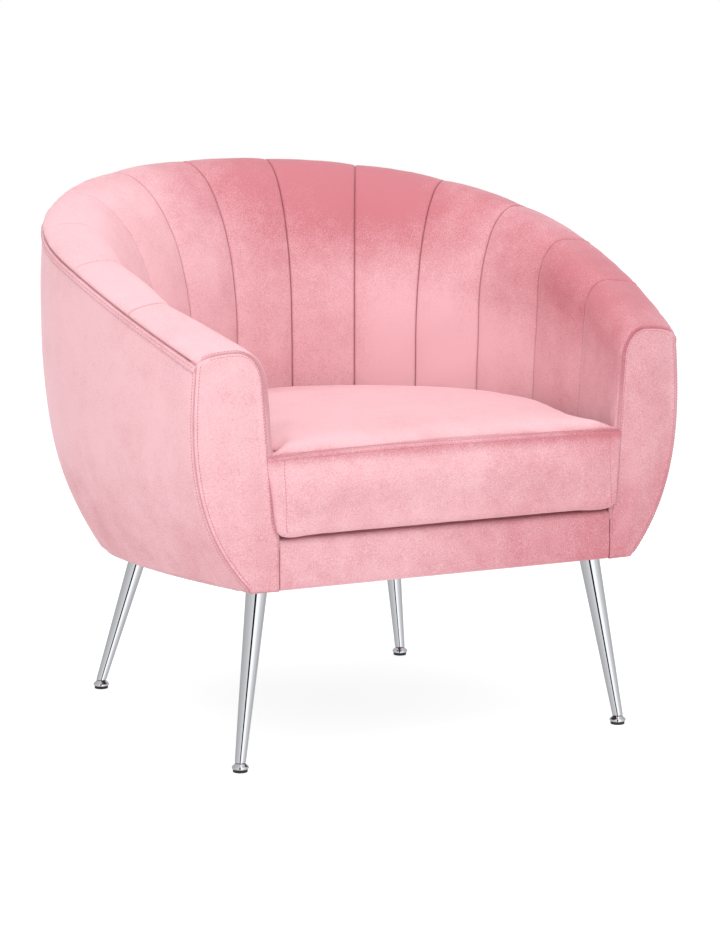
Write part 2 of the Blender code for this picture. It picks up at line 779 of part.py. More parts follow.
def make_cushion(foam, cover, dark):
    add_object("cushion_foam", skin(cushion_rings(0)), foam)
    outside = add_object("cushion_cover", skin(cushion_rings(COVER_CLOTH)), cover)
    inside = add_object("cushion_hollow", skin(cushion_rings(3 * GAP)), cover)
    cut(outside, inside)
    steps = 4
    stations = [ZIP_REACH * (i / steps - 1) for i in range(2 * steps + 1)]
    tub_loft("cushion_zip", stations, zip_ring(0, GAP, -ZIP_SUNK), dark)
    wider = [u * (1 + ZIP_SLOT_MARGIN / (ZIP_REACH * HALF_LENGTH)) for u in stations]
    slot = zip_ring(ZIP_SLOT_MARGIN, ZIP_SLOT_DEPTH, ZIP_SLOT_DEPTH)
    cut(outside, tub_loft("zip_slot", wider, slot, cover))


def main():
    clear_scene()
    velvet = make_material("pink_velvet", (0.72, 0.36, 0.40), 0.75)
    timber = make_material("plywood", (0.62, 0.45, 0.28), 0.6)
    webbing = make_material("webbing", (0.16, 0.14, 0.13), 0.8)
    deck = make_material("deck_cloth", (0.62, 0.33, 0.36), 0.8)
    cambric = make_material("dust_cloth", (0.03, 0.03, 0.03), 0.9)
    foam = make_material("foam", (0.85, 0.80, 0.62), 0.85)
    dark = make_material("zip", (0.30, 0.12, 0.15), 0.5)
    chrome = make_material("chrome", (0.80, 0.80, 0.82), 0.08, 1.0)
    steel = make_material("zinc_steel", (0.55, 0.55, 0.57), 0.4, 1.0)
    rubber = make_material("black_rubber", (0.02, 0.02, 0.02), 0.7)
    make_outer_covers(velvet)
    make_pads(velvet)
    make_arm_fronts(velvet, timber)
    make_border(velvet)
    make_frame(timber)
    make_straps(webbing)
    make_deck(deck)
    make_dust_cover(cambric)
    make_legs(chrome, steel, rubber)
    make_cushion(foam, velvet, dark)


main()
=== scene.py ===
"""Looks of the channel-back tub armchair: velvet, seams, cushion, chrome, stage and light."""

import math

import bmesh
import bpy
import numpy as np
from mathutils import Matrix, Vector
from mathutils.bvhtree import BVHTree


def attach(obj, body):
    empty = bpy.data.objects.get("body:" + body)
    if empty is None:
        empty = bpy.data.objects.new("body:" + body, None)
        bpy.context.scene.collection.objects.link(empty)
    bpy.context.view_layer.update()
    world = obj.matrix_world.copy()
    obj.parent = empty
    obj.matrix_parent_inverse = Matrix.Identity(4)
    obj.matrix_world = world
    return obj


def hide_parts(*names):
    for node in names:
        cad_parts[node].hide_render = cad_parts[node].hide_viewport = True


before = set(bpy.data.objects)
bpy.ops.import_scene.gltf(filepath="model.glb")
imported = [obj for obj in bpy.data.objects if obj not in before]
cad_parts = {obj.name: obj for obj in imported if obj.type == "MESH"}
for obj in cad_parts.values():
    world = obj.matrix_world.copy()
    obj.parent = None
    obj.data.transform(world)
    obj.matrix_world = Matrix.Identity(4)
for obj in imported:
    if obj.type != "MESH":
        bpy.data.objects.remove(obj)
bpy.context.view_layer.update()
SHELL = "chair"
CUSHION = "seat_cushion"

# The tub's form, as the frame has it
BODY_BOTTOM = 0.247
RIM_HALF_WIDTH = 0.418
RIM_BACK_REACH = 0.376
RIM_ROUNDNESS = 1.95
ARM_REACH = 0.330
ARM_TOE_IN = 0.435
RIM_BACK_HEIGHT = 0.756
RIM_FRONT_HEIGHT = 0.552
RIM_FALL_POWER = 2.08
RIM_FALL_EASE = 0.2
FRONT_OVERHANG = 0.032
PANEL_TURN = math.radians(7)
OUTER_BULGE = 0.005
OUTER_TUCK = (0.086, 0.070)
OUTER_TUCK_POWER = 3.86
OUTER_THICKNESS = 0.006
RAIL_GAP = 0.003
RAIL_THICKNESS = 0.027
CHANNELS = 13
TOP_WIDTH = (0.160, 0.085)
INNER_DEPTH = (0.164, 0.100)
CREST_RISE = (0.018, 0.015)
CREST_SHARE = (0.15, 0.6)
ROLL_DROP = (0.250, 0.045)
PAD_OVER_RAIL = 0.018
PAD_BOTTOM = 0.303
PANEL_FACE = 0.018
PANEL_BACK = 0.035
ARM_END_TURN = math.radians(22)
PANEL_FOOT_DEPTH = 0.1055
BORDER_TOP = 0.3163
BORDER_FLAP = 0.090
CUSHION_BOTTOM = 0.3195
CUSHION_EDGE_TOP = 0.434
CUSHION_CROWN = 0.016
OVERALL_DEPTH = FRONT_OVERHANG + ARM_REACH + RIM_BACK_REACH + OUTER_BULGE
WIDEST_Y = OVERALL_DEPTH / 2 - RIM_BACK_REACH - OUTER_BULGE
SEAMS = [-1 + 2 * i / CHANNELS for i in range(CHANNELS + 1)]
CORNER = 4  # seams from the arm front to the cover seam at a back corner
BACK_TO_ARM = (0.3, 0.8)  # where along the rim the back's measures turn into the arm's

# How the soft surfaces differ from the plain solids
CHANNEL_WIDTH = 0.085
CHANNEL_CROWN = 0.0075
CREST_CROWN = 0.0016
SEAM_ROUND = 0.0036
SEAM_DEEP = 0.0032
RIM_ROUND = 0.0045
RIM_DEEP = 0.0040
ARM_END_SHARE = 0.6
RIM_PUCKER = 0.0011
COVER_PUCKER = 0.0009
COVER_WAVE = 0.0011
COVER_END_RISE = 0.0013  # the cover stands a little proud of the arm front's side
PANEL_CROWN = 0.0042
BORDER_CROWN = 0.0035
BORDER_ROUND = 0.008

# Distances from a piece's end at which its sections stand closer together
NEAR_END = (0, 0.0006, 0.0014, 0.0025, 0.004, 0.006)

# Half widths of the painted shade lines at the seams
PAD_SHADE_WIDTH = 0.0016
PAD_END_SHADE_WIDTH = 0.0015
RIM_SHADE_WIDTH = 0.0022
COVER_SHADE_WIDTH = 0.0014

# The cushion's front seam, bowed up in the middle, and its widened front corners
SEAM_LOW = 0.4275
SEAM_BOW = 0.0055
SEAM_REACH = 0.27
EAR_HALF_WIDTH = 0.2755
CUSHION_SAG = 0.0120

CLOTH_FRAMES = 20

# Stitches
STITCH_PITCH = 0.0042
STITCH_LENGTH = 0.0027
STITCH_RADIUS = 0.00042
STITCH_ABOVE = 0.00012
RIM_ROWS = (0.0046, 0.0098)
END_ROW = 0.0032
PANEL_ROW = 0.0034


def mix(low, high, share):
    return low + (high - low) * share


def smooth(value, start, end):
    share = np.clip((value - start) / (end - start), 0, 1)
    return share * share * (3 - 2 * share)


def between(pair, u):
    return mix(pair[0], pair[1], smooth(np.abs(u), *BACK_TO_ARM))


def rim_curve():
    angle = np.linspace(math.pi / 2, 0, 400)
    power = 2 / RIM_ROUNDNESS
    back_x = RIM_HALF_WIDTH * np.cos(angle).clip(0) ** power
    back_y = WIDEST_Y + RIM_BACK_REACH * np.sin(angle).clip(0) ** power
    forward = np.linspace(0, ARM_REACH, 200)[1:]
    x = np.append(back_x, RIM_HALF_WIDTH - ARM_TOE_IN * forward**2)
    y = np.append(back_y, WIDEST_Y - forward)
    length = np.append(0, np.cumsum(np.hypot(np.diff(x), np.diff(y))))
    return x, y, length


RIM_X, RIM_Y, RIM_LENGTH = rim_curve()
HALF = float(RIM_LENGTH[-1])
PANEL_BACK_U = 1 - PANEL_BACK / math.cos(ARM_END_TURN) / HALF


def rim_point(u):
    at = abs(u) * HALF
    x = float(np.interp(at, RIM_LENGTH, RIM_X))
    return np.array((math.copysign(x, u), float(np.interp(at, RIM_LENGTH, RIM_Y))))


def rim_height(u):
    share = np.abs(u)
    fall = (1 + RIM_FALL_EASE) * share**RIM_FALL_POWER - RIM_FALL_EASE * share**4
    return mix(RIM_BACK_HEIGHT, RIM_FRONT_HEIGHT, fall)


def unit(v):
    return v / np.linalg.norm(v)


def forward_at(u):
    step = 0.002
    return unit(rim_point(min(u + step, 1)) - rim_point(max(u - step, -1)))


def inward_at(u):
    forward = forward_at(u)
    square = np.array((forward[1], -forward[0]))
    panel = np.array((-math.copysign(math.cos(PANEL_TURN), u), -math.sin(PANEL_TURN)))
    share = float(smooth(abs(u), SEAMS[-2], PANEL_BACK_U))
    direction = unit(mix(square, panel, share))
    return direction / direction.dot(square)


def place(u, depth, z):
    """World points at one u for arrays of depth and z."""
    plan = rim_point(u)[None, :] + np.outer(depth, inward_at(u))
    return np.column_stack((plan, z))


def outer_depth(u, z):
    share = np.clip((z - BODY_BOTTOM) / (rim_height(u) - BODY_BOTTOM), 0, 1)
    tuck = between(OUTER_TUCK, u) * (1 - share) ** OUTER_TUCK_POWER
    return tuck - OUTER_BULGE * np.sin(math.pi * share**1.5)


def top_roll_end(u):
    return rim_height(u) + between(CREST_RISE, u) - between(ROLL_DROP, u)


def inner_depth(u, z):
    top = between(TOP_WIDTH, u)
    low = between(INNER_DEPTH, u)
    roll_end = top_roll_end(u)
    return mix(top, low, np.clip((roll_end - z) / (roll_end - BORDER_TOP), 0, 1))


def pad_back_depth(u, z):
    return outer_depth(u, z) + OUTER_THICKNESS + RAIL_GAP + RAIL_THICKNESS + RAIL_GAP


def wobble(x, seed, octaves=3):
    """A smooth, repeatable wobble of about -1 to 1 along x."""
    total = np.zeros_like(np.asarray(x, float))
    for k in range(octaves):
        rate = 1.7**k
        phase = math.sin(seed * 12.9898 + k * 78.233) * 43758.5453
        total = total + np.sin(np.asarray(x) * rate + phase % 6.283) / (1 + 0.6 * k)
    return total / 1.8


def rounding(distance, radius):
    """1 at an edge, falling to 0 at radius along a quarter circle."""
    share = np.clip(1 - distance / radius, 0, 1)
    return 1 - np.sqrt(np.clip(1 - share**2, 0, 1))


def bell(value, middle, width):
    return np.exp(-(((value - middle) / width) ** 2))


def painted_seam_shade(distance, width):
    """Painted seam shade: 1 on a seam, falling straight to 0 at width."""
    return np.clip(1 - distance / width, 0, 1)


# ---- mesh building


def make_object(name, points, faces, material, attributes=None, smooth_angle=None):
    mesh = bpy.data.meshes.new(name)
    mesh.from_pydata([tuple(map(float, p)) for p in points], [], faces)
    mesh.update()
    mesh.shade_smooth()
    if smooth_angle is not None:
        mesh.set_sharp_from_angle(angle=smooth_angle)
    for key, values in (attributes or {}).items():
        layer = mesh.attributes.new(key, "FLOAT", "POINT")
        layer.data.foreach_set("value", np.asarray(values, np.float32))
    mesh.materials.append(material)
    obj = bpy.data.objects.new(name, mesh)
    bpy.context.scene.collection.objects.link(obj)
    return obj


def loft_faces(stations, ring):
    """Quads between neighbouring closed rings, and a cap at each end."""
    faces = []
    for i in range(stations - 1):
        for j in range(ring):
            k = (j + 1) % ring
            faces.append((i * ring + j, i * ring + k, (i + 1) * ring + k, (i + 1) * ring + j))
    faces.append(tuple(range(ring))[::-1])
    faces.append(tuple(range((stations - 1) * ring, stations * ring)))
    return faces


def outward(obj):
    """Turns the faces of a closed mesh outwards."""
    bm = bmesh.new()
    bm.from_mesh(obj.data)
    bmesh.ops.recalc_face_normals(bm, faces=bm.faces)
    bm.to_mesh(obj.data)
    bm.free()
    return obj


def normals_2d(a, b):
    """Unit normals of a plane curve (a, b), to the left of its direction."""
    da = np.gradient(a)
    db = np.gradient(b)
    size = np.hypot(da, db) + 1e-12
    return -db / size, da / size


# ---- materials


class Nodes:
    """A new material, with short names for building its node tree."""

    def __init__(self, name):
        self.material = bpy.data.materials.new(name)
        self.material.use_nodes = True
        self.tree = self.material.node_tree
        self.tree.nodes.clear()
        self.out = self.tree.nodes.new("ShaderNodeOutputMaterial")
        self.shader = self.tree.nodes.new("ShaderNodeBsdfPrincipled")
        self.link(self.shader.outputs[0], self.out.inputs[0])
        self.coord = self.tree.nodes.new("ShaderNodeTexCoord").outputs["Object"]

    def link(self, source, target):
        self.tree.links.new(source, target)

    def put(self, target, value):
        if isinstance(value, bpy.types.NodeSocket):
            self.link(value, target)
        else:
            target.default_value = value

    def surface(self, name, value):
        self.put(self.shader.inputs[name], value)

    def noise(self, scale, detail=3, roughness=0.5, vector=None, stretch=None):
        node = self.tree.nodes.new("ShaderNodeTexNoise")
        node.inputs["Scale"].default_value = scale
        node.inputs["Detail"].default_value = detail
        node.inputs["Roughness"].default_value = roughness
        source = vector or self.coord
        if stretch:
            mapping = self.tree.nodes.new("ShaderNodeMapping")
            mapping.inputs["Scale"].default_value = stretch
            self.link(source, mapping.inputs["Vector"])
            source = mapping.outputs[0]
        self.link(source, node.inputs["Vector"])
        return node.outputs["Fac"]

    def math(self, kind, a, b=0.0, clamp=False):
        node = self.tree.nodes.new("ShaderNodeMath")
        node.operation = kind
        node.use_clamp = clamp
        self.put(node.inputs[0], a)
        self.put(node.inputs[1], b)
        return node.outputs[0]

    def ramp(self, factor, low, high, start=0.0, end=1.0):
        node = self.tree.nodes.new("ShaderNodeMapRange")
        node.interpolation_type = "SMOOTHSTEP"
        self.put(node.inputs["Value"], factor)
        node.inputs["From Min"].default_value = start
        node.inputs["From Max"].default_value = end
        node.inputs["To Min"].default_value = low
        node.inputs["To Max"].default_value = high
        return node.outputs["Result"]

    def blend(self, factor, a, b, kind="MIX"):
        node = self.tree.nodes.new("ShaderNodeMix")
        node.data_type = "RGBA"
        node.blend_type = kind
        self.put(node.inputs["Factor"], factor)
        self.put(node.inputs[6], a if not isinstance(a, tuple) else (*a, 1))
        self.put(node.inputs[7], b if not isinstance(b, tuple) else (*b, 1))
        return node.outputs[2]

    def attribute(self, name):
        node = self.tree.nodes.new("ShaderNodeAttribute")
        node.attribute_name = name
        return node.outputs["Fac"]

    def bump(self, height, strength, distance, normal=None):
        node = self.tree.nodes.new("ShaderNodeBump")
        node.inputs["Strength"].default_value = strength
        node.inputs["Distance"].default_value = distance
        self.link(height, node.inputs["Height"])
        if normal is not None:
            self.link(normal, node.inputs["Normal"])
        return node.outputs[0]


def linear(r, g, b):
    """Scene colour of an 8-bit screen colour."""
    return tuple(
        c / 12.92 if c <= 0.04045 else ((c + 0.055) / 1.055) ** 2.4
        for c in (r / 255, g / 255, b / 255)
    )


def velvet_material(name="velvet_pink", cushion=False):
    n = Nodes(name)
    light = linear(229, 182, 188)
    # The darker rose that the random mottle and the painted shade both blend towards
    mottle_and_shade_colour = linear(192, 116, 125)
    # Painted shade: a point attribute blends the velvet towards the darker rose where the tub's
    # back, right arm and cushion lie in shade
    painted_shade = n.attribute("painted_shade")
    if cushion:
        split = n.tree.nodes.new("ShaderNodeSeparateXYZ")
        n.link(n.coord, split.inputs[0])
        across, _, height = split.outputs
        bow = n.math("MULTIPLY", n.math("MULTIPLY", across, across), SEAM_BOW / SEAM_REACH**2)
        crest = SEAM_LOW + SEAM_BOW
        off = n.math("ABSOLUTE", n.math("ADD", n.math("ADD", height, bow), -crest))
        # Painted seam shade along the cushion's front seam, found by height; the same line also
        # dents a bump groove
        seam = n.ramp(off, 1.0, 0.0, 0.0003, 0.0022)
    else:
        seam = n.attribute("seam")
    patches = n.noise(9, 4, 0.55)
    clouds = n.noise(34, 3, 0.6)
    grain = n.noise(620, 2, 0.6)
    factor = painted_shade
    for texture, weight in ((patches, 0.75), (clouds, 0.45), (grain, 1.5)):
        change = n.math("MULTIPLY", n.math("SUBTRACT", texture, 0.5), weight)
        factor = n.math("ADD", factor, change, clamp=texture is grain)
    colour = n.blend(factor, light, mottle_and_shade_colour)
    # Painted seam shade: the seam attribute darkens the velvet along the seams, over their real
    # grooves
    seam_shade_strength = 0.3 if cushion else 0.5
    colour = n.blend(n.math("MULTIPLY", seam, seam_shade_strength), colour, linear(150, 76, 88))
    n.surface("Base Color", colour)
    n.surface("Roughness", 0.82)
    n.surface("Specular IOR Level", 0.18)
    n.surface("Sheen Weight", 0.32)
    n.surface("Sheen Roughness", 0.38)
    n.surface("Sheen Tint", (1.0, 0.84, 0.88, 1))
    fine = n.bump(grain, 0.35, 0.0006)
    rough = n.bump(clouds, 0.22, 0.0012, fine)
    if cushion:
        rough = n.bump(n.math("SUBTRACT", 1.0, seam), 0.9, 0.0012, rough)
    n.surface("Normal", rough)
    return n.material


def thread_material():
    n = Nodes("thread_pink")
    twist = n.noise(2400, 2, 0.5, stretch=(1, 1, 0.4))
    colour = n.blend(twist, linear(205, 128, 142), linear(178, 96, 110))
    n.surface("Base Color", colour)
    n.surface("Roughness", 0.6)
    n.surface("Normal", n.bump(twist, 0.4, 0.0003))
    return n.material


def cloth_material(name, light, dark, scale, rough=0.9, weave=0.0006):
    """A plain woven or felted cloth."""
    n = Nodes(name)
    warp = n.noise(scale, 2, 0.6, stretch=(1, 0.12, 1))
    weft = n.noise(scale, 2, 0.6, stretch=(0.12, 1, 1))
    threads = n.math("MAXIMUM", warp, weft)
    dust = n.noise(25, 4, 0.6)
    colour = n.blend(n.ramp(threads, 0, 1, 0.35, 0.7), dark, light)
    colour = n.blend(n.math("MULTIPLY", dust, 0.35), colour, dark)
    n.surface("Base Color", colour)
    n.surface("Roughness", rough)
    n.surface("Sheen Weight", 0.15)
    n.surface("Normal", n.bump(threads, 0.5, weave))
    return n.material


def chrome_material():
    n = Nodes("chrome_plate")
    smear = n.noise(40, 3, 0.5, stretch=(1, 1, 0.15))
    n.surface("Base Color", linear(226, 227, 230) + (1,))
    n.surface("Metallic", 1.0)
    n.surface("Roughness", n.ramp(smear, 0.045, 0.10, 0.3, 0.8))
    return n.material


def metal_material(name, colour, rough):
    n = Nodes(name)
    brushed = n.noise(300, 3, 0.6, stretch=(1, 0.05, 1))
    tone = n.blend(brushed, tuple(c * 0.8 for c in colour), colour)
    n.surface("Base Color", tone)
    n.surface("Metallic", 1.0)
    n.surface("Roughness", n.ramp(brushed, rough - 0.08, rough + 0.1))
    n.surface("Normal", n.bump(brushed, 0.15, 0.0004))
    return n.material


def wood_material():
    n = Nodes("birch_plywood")
    plies = n.noise(9, 2, 0.4, stretch=(0.4, 0.4, 60))
    grain = n.noise(70, 4, 0.65, stretch=(1, 1, 0.08))
    colour = n.blend(grain, linear(214, 180, 132), linear(176, 136, 88))
    colour = n.blend(n.ramp(plies, 0, 0.55, 0.48, 0.6), colour, linear(128, 88, 54))
    n.surface("Base Color", colour)
    n.surface("Roughness", 0.62)
    n.surface("Normal", n.bump(grain, 0.3, 0.0005))
    return n.material


def rubber_material():
    n = Nodes("rubber_black")
    speckle = n.noise(900, 3, 0.6)
    colour = n.blend(speckle, (0.008, 0.008, 0.009), (0.03, 0.03, 0.032))
    n.surface("Base Color", colour)
    n.surface("Roughness", 0.6)
    n.surface("Normal", n.bump(speckle, 0.3, 0.0003))
    return n.material


def zip_material():
    n = Nodes("zip_teeth")
    wave = n.tree.nodes.new("ShaderNodeTexWave")
    wave.bands_direction = "X"
    wave.inputs["Scale"].default_value = 130
    n.link(n.coord, wave.inputs["Vector"])
    colour = n.blend(wave.outputs["Fac"], linear(150, 78, 92), linear(196, 120, 134))
    n.surface("Base Color", colour)
    n.surface("Roughness", 0.45)
    n.surface("Normal", n.bump(wave.outputs["Fac"], 0.6, 0.0008))
    return n.material


VELVET = velvet_material()
VELVET_CUSHION = velvet_material("velvet_pink_cushion", cushion=True)
THREAD = thread_material()
CHROME = chrome_material()
STEEL = metal_material("zinc_steel", linear(190, 192, 196), 0.36)
WOOD = wood_material()
RUBBER = rubber_material()
ZIP = zip_material()
WEBBING = cloth_material("webbing_dark", linear(86, 80, 76), linear(40, 36, 34), 500)
DECK = cloth_material("deck_cloth_rose", linear(224, 160, 172), linear(180, 112, 126), 700)
CAMBRIC = cloth_material("dust_cloth_black", linear(46, 46, 48), linear(18, 18, 20), 260, 0.95)
FOAM = cloth_material("foam_cream", linear(236, 222, 176), linear(206, 186, 130), 380, 0.95)


# ---- covers and pads


# Painted shade round the tub, by place along the rim, high and low on its inner face
SHADE_U = (-1, -0.77, -0.6, -0.46, -0.31, -0.154, 0, 0.154, 0.31, 0.46, 0.615, 0.77, 0.92, 1)
SHADE_HIGH = (0.0, 0.0, 0.0, 0.08, 0.2, 0.5, 1.0, 1.25, 1.2, 0.8, 0.7, 1.0, 1.0, 0.8)
SHADE_LOW = (0.0, 0.0, 0.0, 0.02, 0.0, 0.0, 0.18, 0.2, -0.1, -0.25, 0.05, 0.3, 0.3, 0.25)


def shade_back(u, z):
    """Painted shade inside the tub: darkest high on the back and on the right arm."""
    height = (z - BORDER_TOP) / (rim_height(u) - BORDER_TOP)
    high = smooth(height, 0.48, 1.05)
    return mix(np.interp(u, SHADE_U, SHADE_LOW), np.interp(u, SHADE_U, SHADE_HIGH), high)


def velvet_loft(name, sections):
    """A closed velvet piece through (points, nap, seam) sections."""
    points, painted_shade, seam = (np.concatenate(part) for part in zip(*sections))
    faces = loft_faces(len(sections), len(sections[0][0]))
    return outward(make_object(name, points, faces, VELVET, {"painted_shade": painted_shade, "seam": seam}))


# Places across a channel, -1 to 1, closer together at its seams
T_SAMPLES = np.array(
    [-1, -0.988, -0.97, -0.945, -0.91, -0.84, -0.7, -0.5, -0.25, 0,
     0.25, 0.5, 0.7, 0.84, 0.91, 0.945, 0.97, 0.988, 1]
)


def pad_path(u):
    """(depth, z, crown weight) from the rim seam over the top and down the inner face."""
    width = between(TOP_WIDTH, u)
    rise = between(CREST_RISE, u)
    crest = between(CREST_SHARE, u) * width
    drop = between(ROLL_DROP, u)
    rim = rim_height(u)
    up = np.linspace(0, 1, 9)[:-1] * math.pi / 2
    down = np.linspace(0, 1, 33) * math.pi / 2
    depth = np.concatenate((crest * (1 - np.cos(up)), crest + (width - crest) * np.sin(down)))
    z = np.concatenate((rim + rise * np.sin(up), rim + rise - drop * (1 - np.cos(down))))
    weight = np.concatenate((np.zeros(len(up)), np.sin(down)))
    roll_end = top_roll_end(u)
    fall = np.linspace(0, 1, 27)[1:]
    low_z = mix(roll_end, PAD_BOTTOM, fall)
    depth = np.concatenate((depth, inner_depth(u, low_z)))
    z = np.concatenate((z, low_z))
    weight = np.concatenate((weight, np.ones(len(fall))))
    return depth, z, weight


def pad_ring(u, t, width_at, front_gap):
    """A pad's section at u, t across its channel and front_gap behind the arm front."""
    depth, z, weight = pad_path(u)
    nd, nz = normals_2d(depth, z)
    if nz[12] <= 0:  # over the top roll the normal points up
        nd, nz = -nd, -nz
    along = np.append(0, np.cumsum(np.hypot(np.diff(depth), np.diff(z))))
    gap = (1 - abs(t)) / 2 * width_at
    crown = (CREST_CROWN + (CHANNEL_CROWN - CREST_CROWN) * weight) * (1 - abs(t) ** 2.5)
    crown *= smooth(along, 0.0, 0.03)
    lift = crown - SEAM_DEEP * rounding(gap, SEAM_ROUND)
    # Painted seam shade along the channel seams, the arm front and the rim
    seam = painted_seam_shade(gap, PAD_SHADE_WIDTH)
    if front_gap is not None:
        front_gap = np.array(front_gap)
        lift = lift + 0.0012 * smooth(along, 0.004, 0.02) * smooth(front_gap, 0.06, 0.015)
        lift = lift - 0.0026 * rounding(front_gap, 0.0040)
        seam = np.maximum(seam, painted_seam_shade(front_gap, PAD_END_SHADE_WIDTH))
    pucker = wobble(np.array(u * HALF / 0.0021), 3.0) * RIM_PUCKER
    lift = lift + pucker * np.exp(-along / 0.020) * smooth(along, 0, 0.004)
    lift = lift + 0.0005 * wobble(along * 55 + u * 30, 5.0) * smooth(along, 0.0, 0.05)
    lift = lift - RIM_DEEP * rounding(along, RIM_ROUND)
    seam = np.maximum(seam, painted_seam_shade(along, RIM_SHADE_WIDTH))
    seen_depth = depth + nd * lift
    seen_z = z + nz * lift
    under = rim_height(u) - PAD_OVER_RAIL
    back_z = mix(PAD_BOTTOM, under, np.array((0, 0.12, 0.3, 0.65, 1)))
    back = pad_back_depth(u, back_z)
    if abs(u) > PANEL_BACK_U - 0.003:
        back_z = np.interp([0, 0.2, 0.4, 0.6, 0.8], [0, 1], [PAD_BOTTOM, under + 0.01])
        back = inner_depth(u, back_z) - 0.008
        back[-1] = min(back[-1], between(TOP_WIDTH, u) - 0.012)
    lip = OUTER_THICKNESS + 0.0006
    ring_depth = np.concatenate((seen_depth, back, (lip, lip)))
    ring_z = np.concatenate((seen_z, back_z, (under, rim_height(u) - 0.002)))
    hidden = len(back) + 2
    # Painted shade by place on the tub's inner face
    painted_shade = shade_back(u, seen_z)
    return (
        place(u, ring_depth, ring_z),
        np.concatenate((painted_shade, np.zeros(hidden))),
        np.concatenate((seam, np.zeros(hidden))),
    )


def channel_width(first, last):
    """Width of a channel along each point of its path."""
    here = place(first, *pad_path(first)[:2])
    there = place(last, *pad_path(last)[:2])
    return np.linalg.norm(here - there, axis=1)


def make_channels():
    near = np.array([0.0005, 0.0015, 0.003, 0.005, 0.0075, 0.0095, 0.014, 0.02, 0.03])
    near = 1 - 2 * near / CHANNEL_WIDTH
    made = []
    for i in range(CHANNELS):
        first, last = SEAMS[i], SEAMS[i + 1]
        width_at = channel_width(first, last)
        at_arm = i in (0, CHANNELS - 1)
        samples = T_SAMPLES
        if at_arm:
            extra = near if i else -near
            samples = np.unique(np.round(np.concatenate((T_SAMPLES, extra)), 5))
        sections = []
        for t in samples:
            u = mix(first, last, (t + 1) / 2)
            front_gap = (1 - abs(u)) * HALF if at_arm else None
            forward = at_arm and (t < 0) == (i == 0)
            share = t * ARM_END_SHARE if forward else t  # no channel seam at the arm front
            sections.append(pad_ring(u, share, width_at, front_gap))
        obj = velvet_loft(f"velvet_channel_{i + 1:02d}", sections)
        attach(obj, SHELL)
        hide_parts(f"channel_pad_{i + 1:02d}")
        made.append(obj)
    return made


def cover_ring(u, end_gap, front):
    """Points round an outer cover's section: outside from the rim to the hem, then back inside."""
    rim = rim_height(u)
    steps = np.linspace(0, 1, 60)
    start = np.array([0, 0.0015, 0.003, 0.005, 0.008, 0.012])
    top = rim - 0.016
    z = np.concatenate((rim - start, top - (top - BODY_BOTTOM - 0.001) * steps**0.9))
    depth = outer_depth(u, z)
    nd, nz = normals_2d(depth, z)
    if nd[20] > 0:  # on the outside the normal points away from the seat
        nd, nz = -nd, -nz
    along = np.append(0, np.cumsum(np.hypot(np.diff(depth), np.diff(z))))
    total = along[-1]
    lift = -RIM_DEEP * rounding(along, RIM_ROUND) - 0.0035 * rounding(total - along, 0.005)
    # Painted seam shade at the rim seam and at the cover's ends
    seam = painted_seam_shade(along, RIM_SHADE_WIDTH)
    band = bell(along, 0.006, 0.0045)
    ripple = wobble(np.array(u * HALF / 0.0016), 1.0)
    lift = lift + COVER_PUCKER * ripple * band
    lift = lift + 0.0014 * bell(along, 0.006, 0.004) - 0.0008 * bell(along, 0.0125, 0.002)
    calm = smooth(end_gap, 0.012, 0.11)
    wave = wobble(along * 16 + u * 7, 2.0)
    lift = lift + COVER_WAVE * wave * smooth(along, 0.02, 0.12) * calm
    # Painted shade: the cover darkens towards its hem, and in the puckered band under the rim seam
    painted_shade = np.clip(0.04 + 0.42 * smooth(z, 0.46, 0.26), 0, 1)
    painted_shade = painted_shade + 0.16 * band * (0.5 + 0.5 * ripple)
    lift = lift - 0.0022 * rounding(np.array(end_gap), 0.004 if front else 0.003)
    if front:
        lift = lift + COVER_END_RISE * (1 - smooth(end_gap, 0.022, 0.060))
    seam = np.maximum(seam, painted_seam_shade(end_gap, COVER_SHADE_WIDTH))
    out_depth = depth + nd * lift
    out_z = z + nz * lift
    hem_depth = depth[-1] + np.array([0.004, 0.013, 0.013])
    hem_z = np.array([BODY_BOTTOM, BODY_BOTTOM, BODY_BOTTOM + 0.0025])
    inner_z = z[::-1][1::6]
    inside = outer_depth(u, inner_z) + OUTER_THICKNESS
    ring_depth = np.concatenate((out_depth, hem_depth, inside))
    ring_z = np.concatenate((out_z, hem_z, inner_z))
    hidden = len(hem_depth) + len(inside)
    return (
        place(u, ring_depth, ring_z),
        np.concatenate((painted_shade, np.full(hidden, 0.3))),
        np.concatenate((seam, np.zeros(hidden))),
    )


def make_covers():
    spans = {
        "left": (-1, SEAMS[CORNER]),
        "back": (SEAMS[CORNER], SEAMS[CHANNELS - CORNER]),
        "right": (SEAMS[CHANNELS - CORNER], 1),
    }
    near = np.array((*NEAR_END, 0.008, 0.010, 0.0115, 0.013, 0.016))
    made = {}
    for word, (first, last) in spans.items():
        length = (last - first) * HALF
        middle = np.arange(0.020, length - 0.019, 0.0042)
        sections = []
        for distance in np.concatenate((near, middle, length - near[::-1])):
            u = min(max(first + distance / HALF, -1), 1)
            early = distance < length / 2
            front = word == ("left" if early else "right")
            sections.append(cover_ring(u, min(distance, length - distance), front))
        obj = velvet_loft(f"velvet_outer_{word}", sections)
        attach(obj, SHELL)
        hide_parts(f"outer_cover_{word}")
        made[word] = obj
    return made


# ---- arm fronts and border


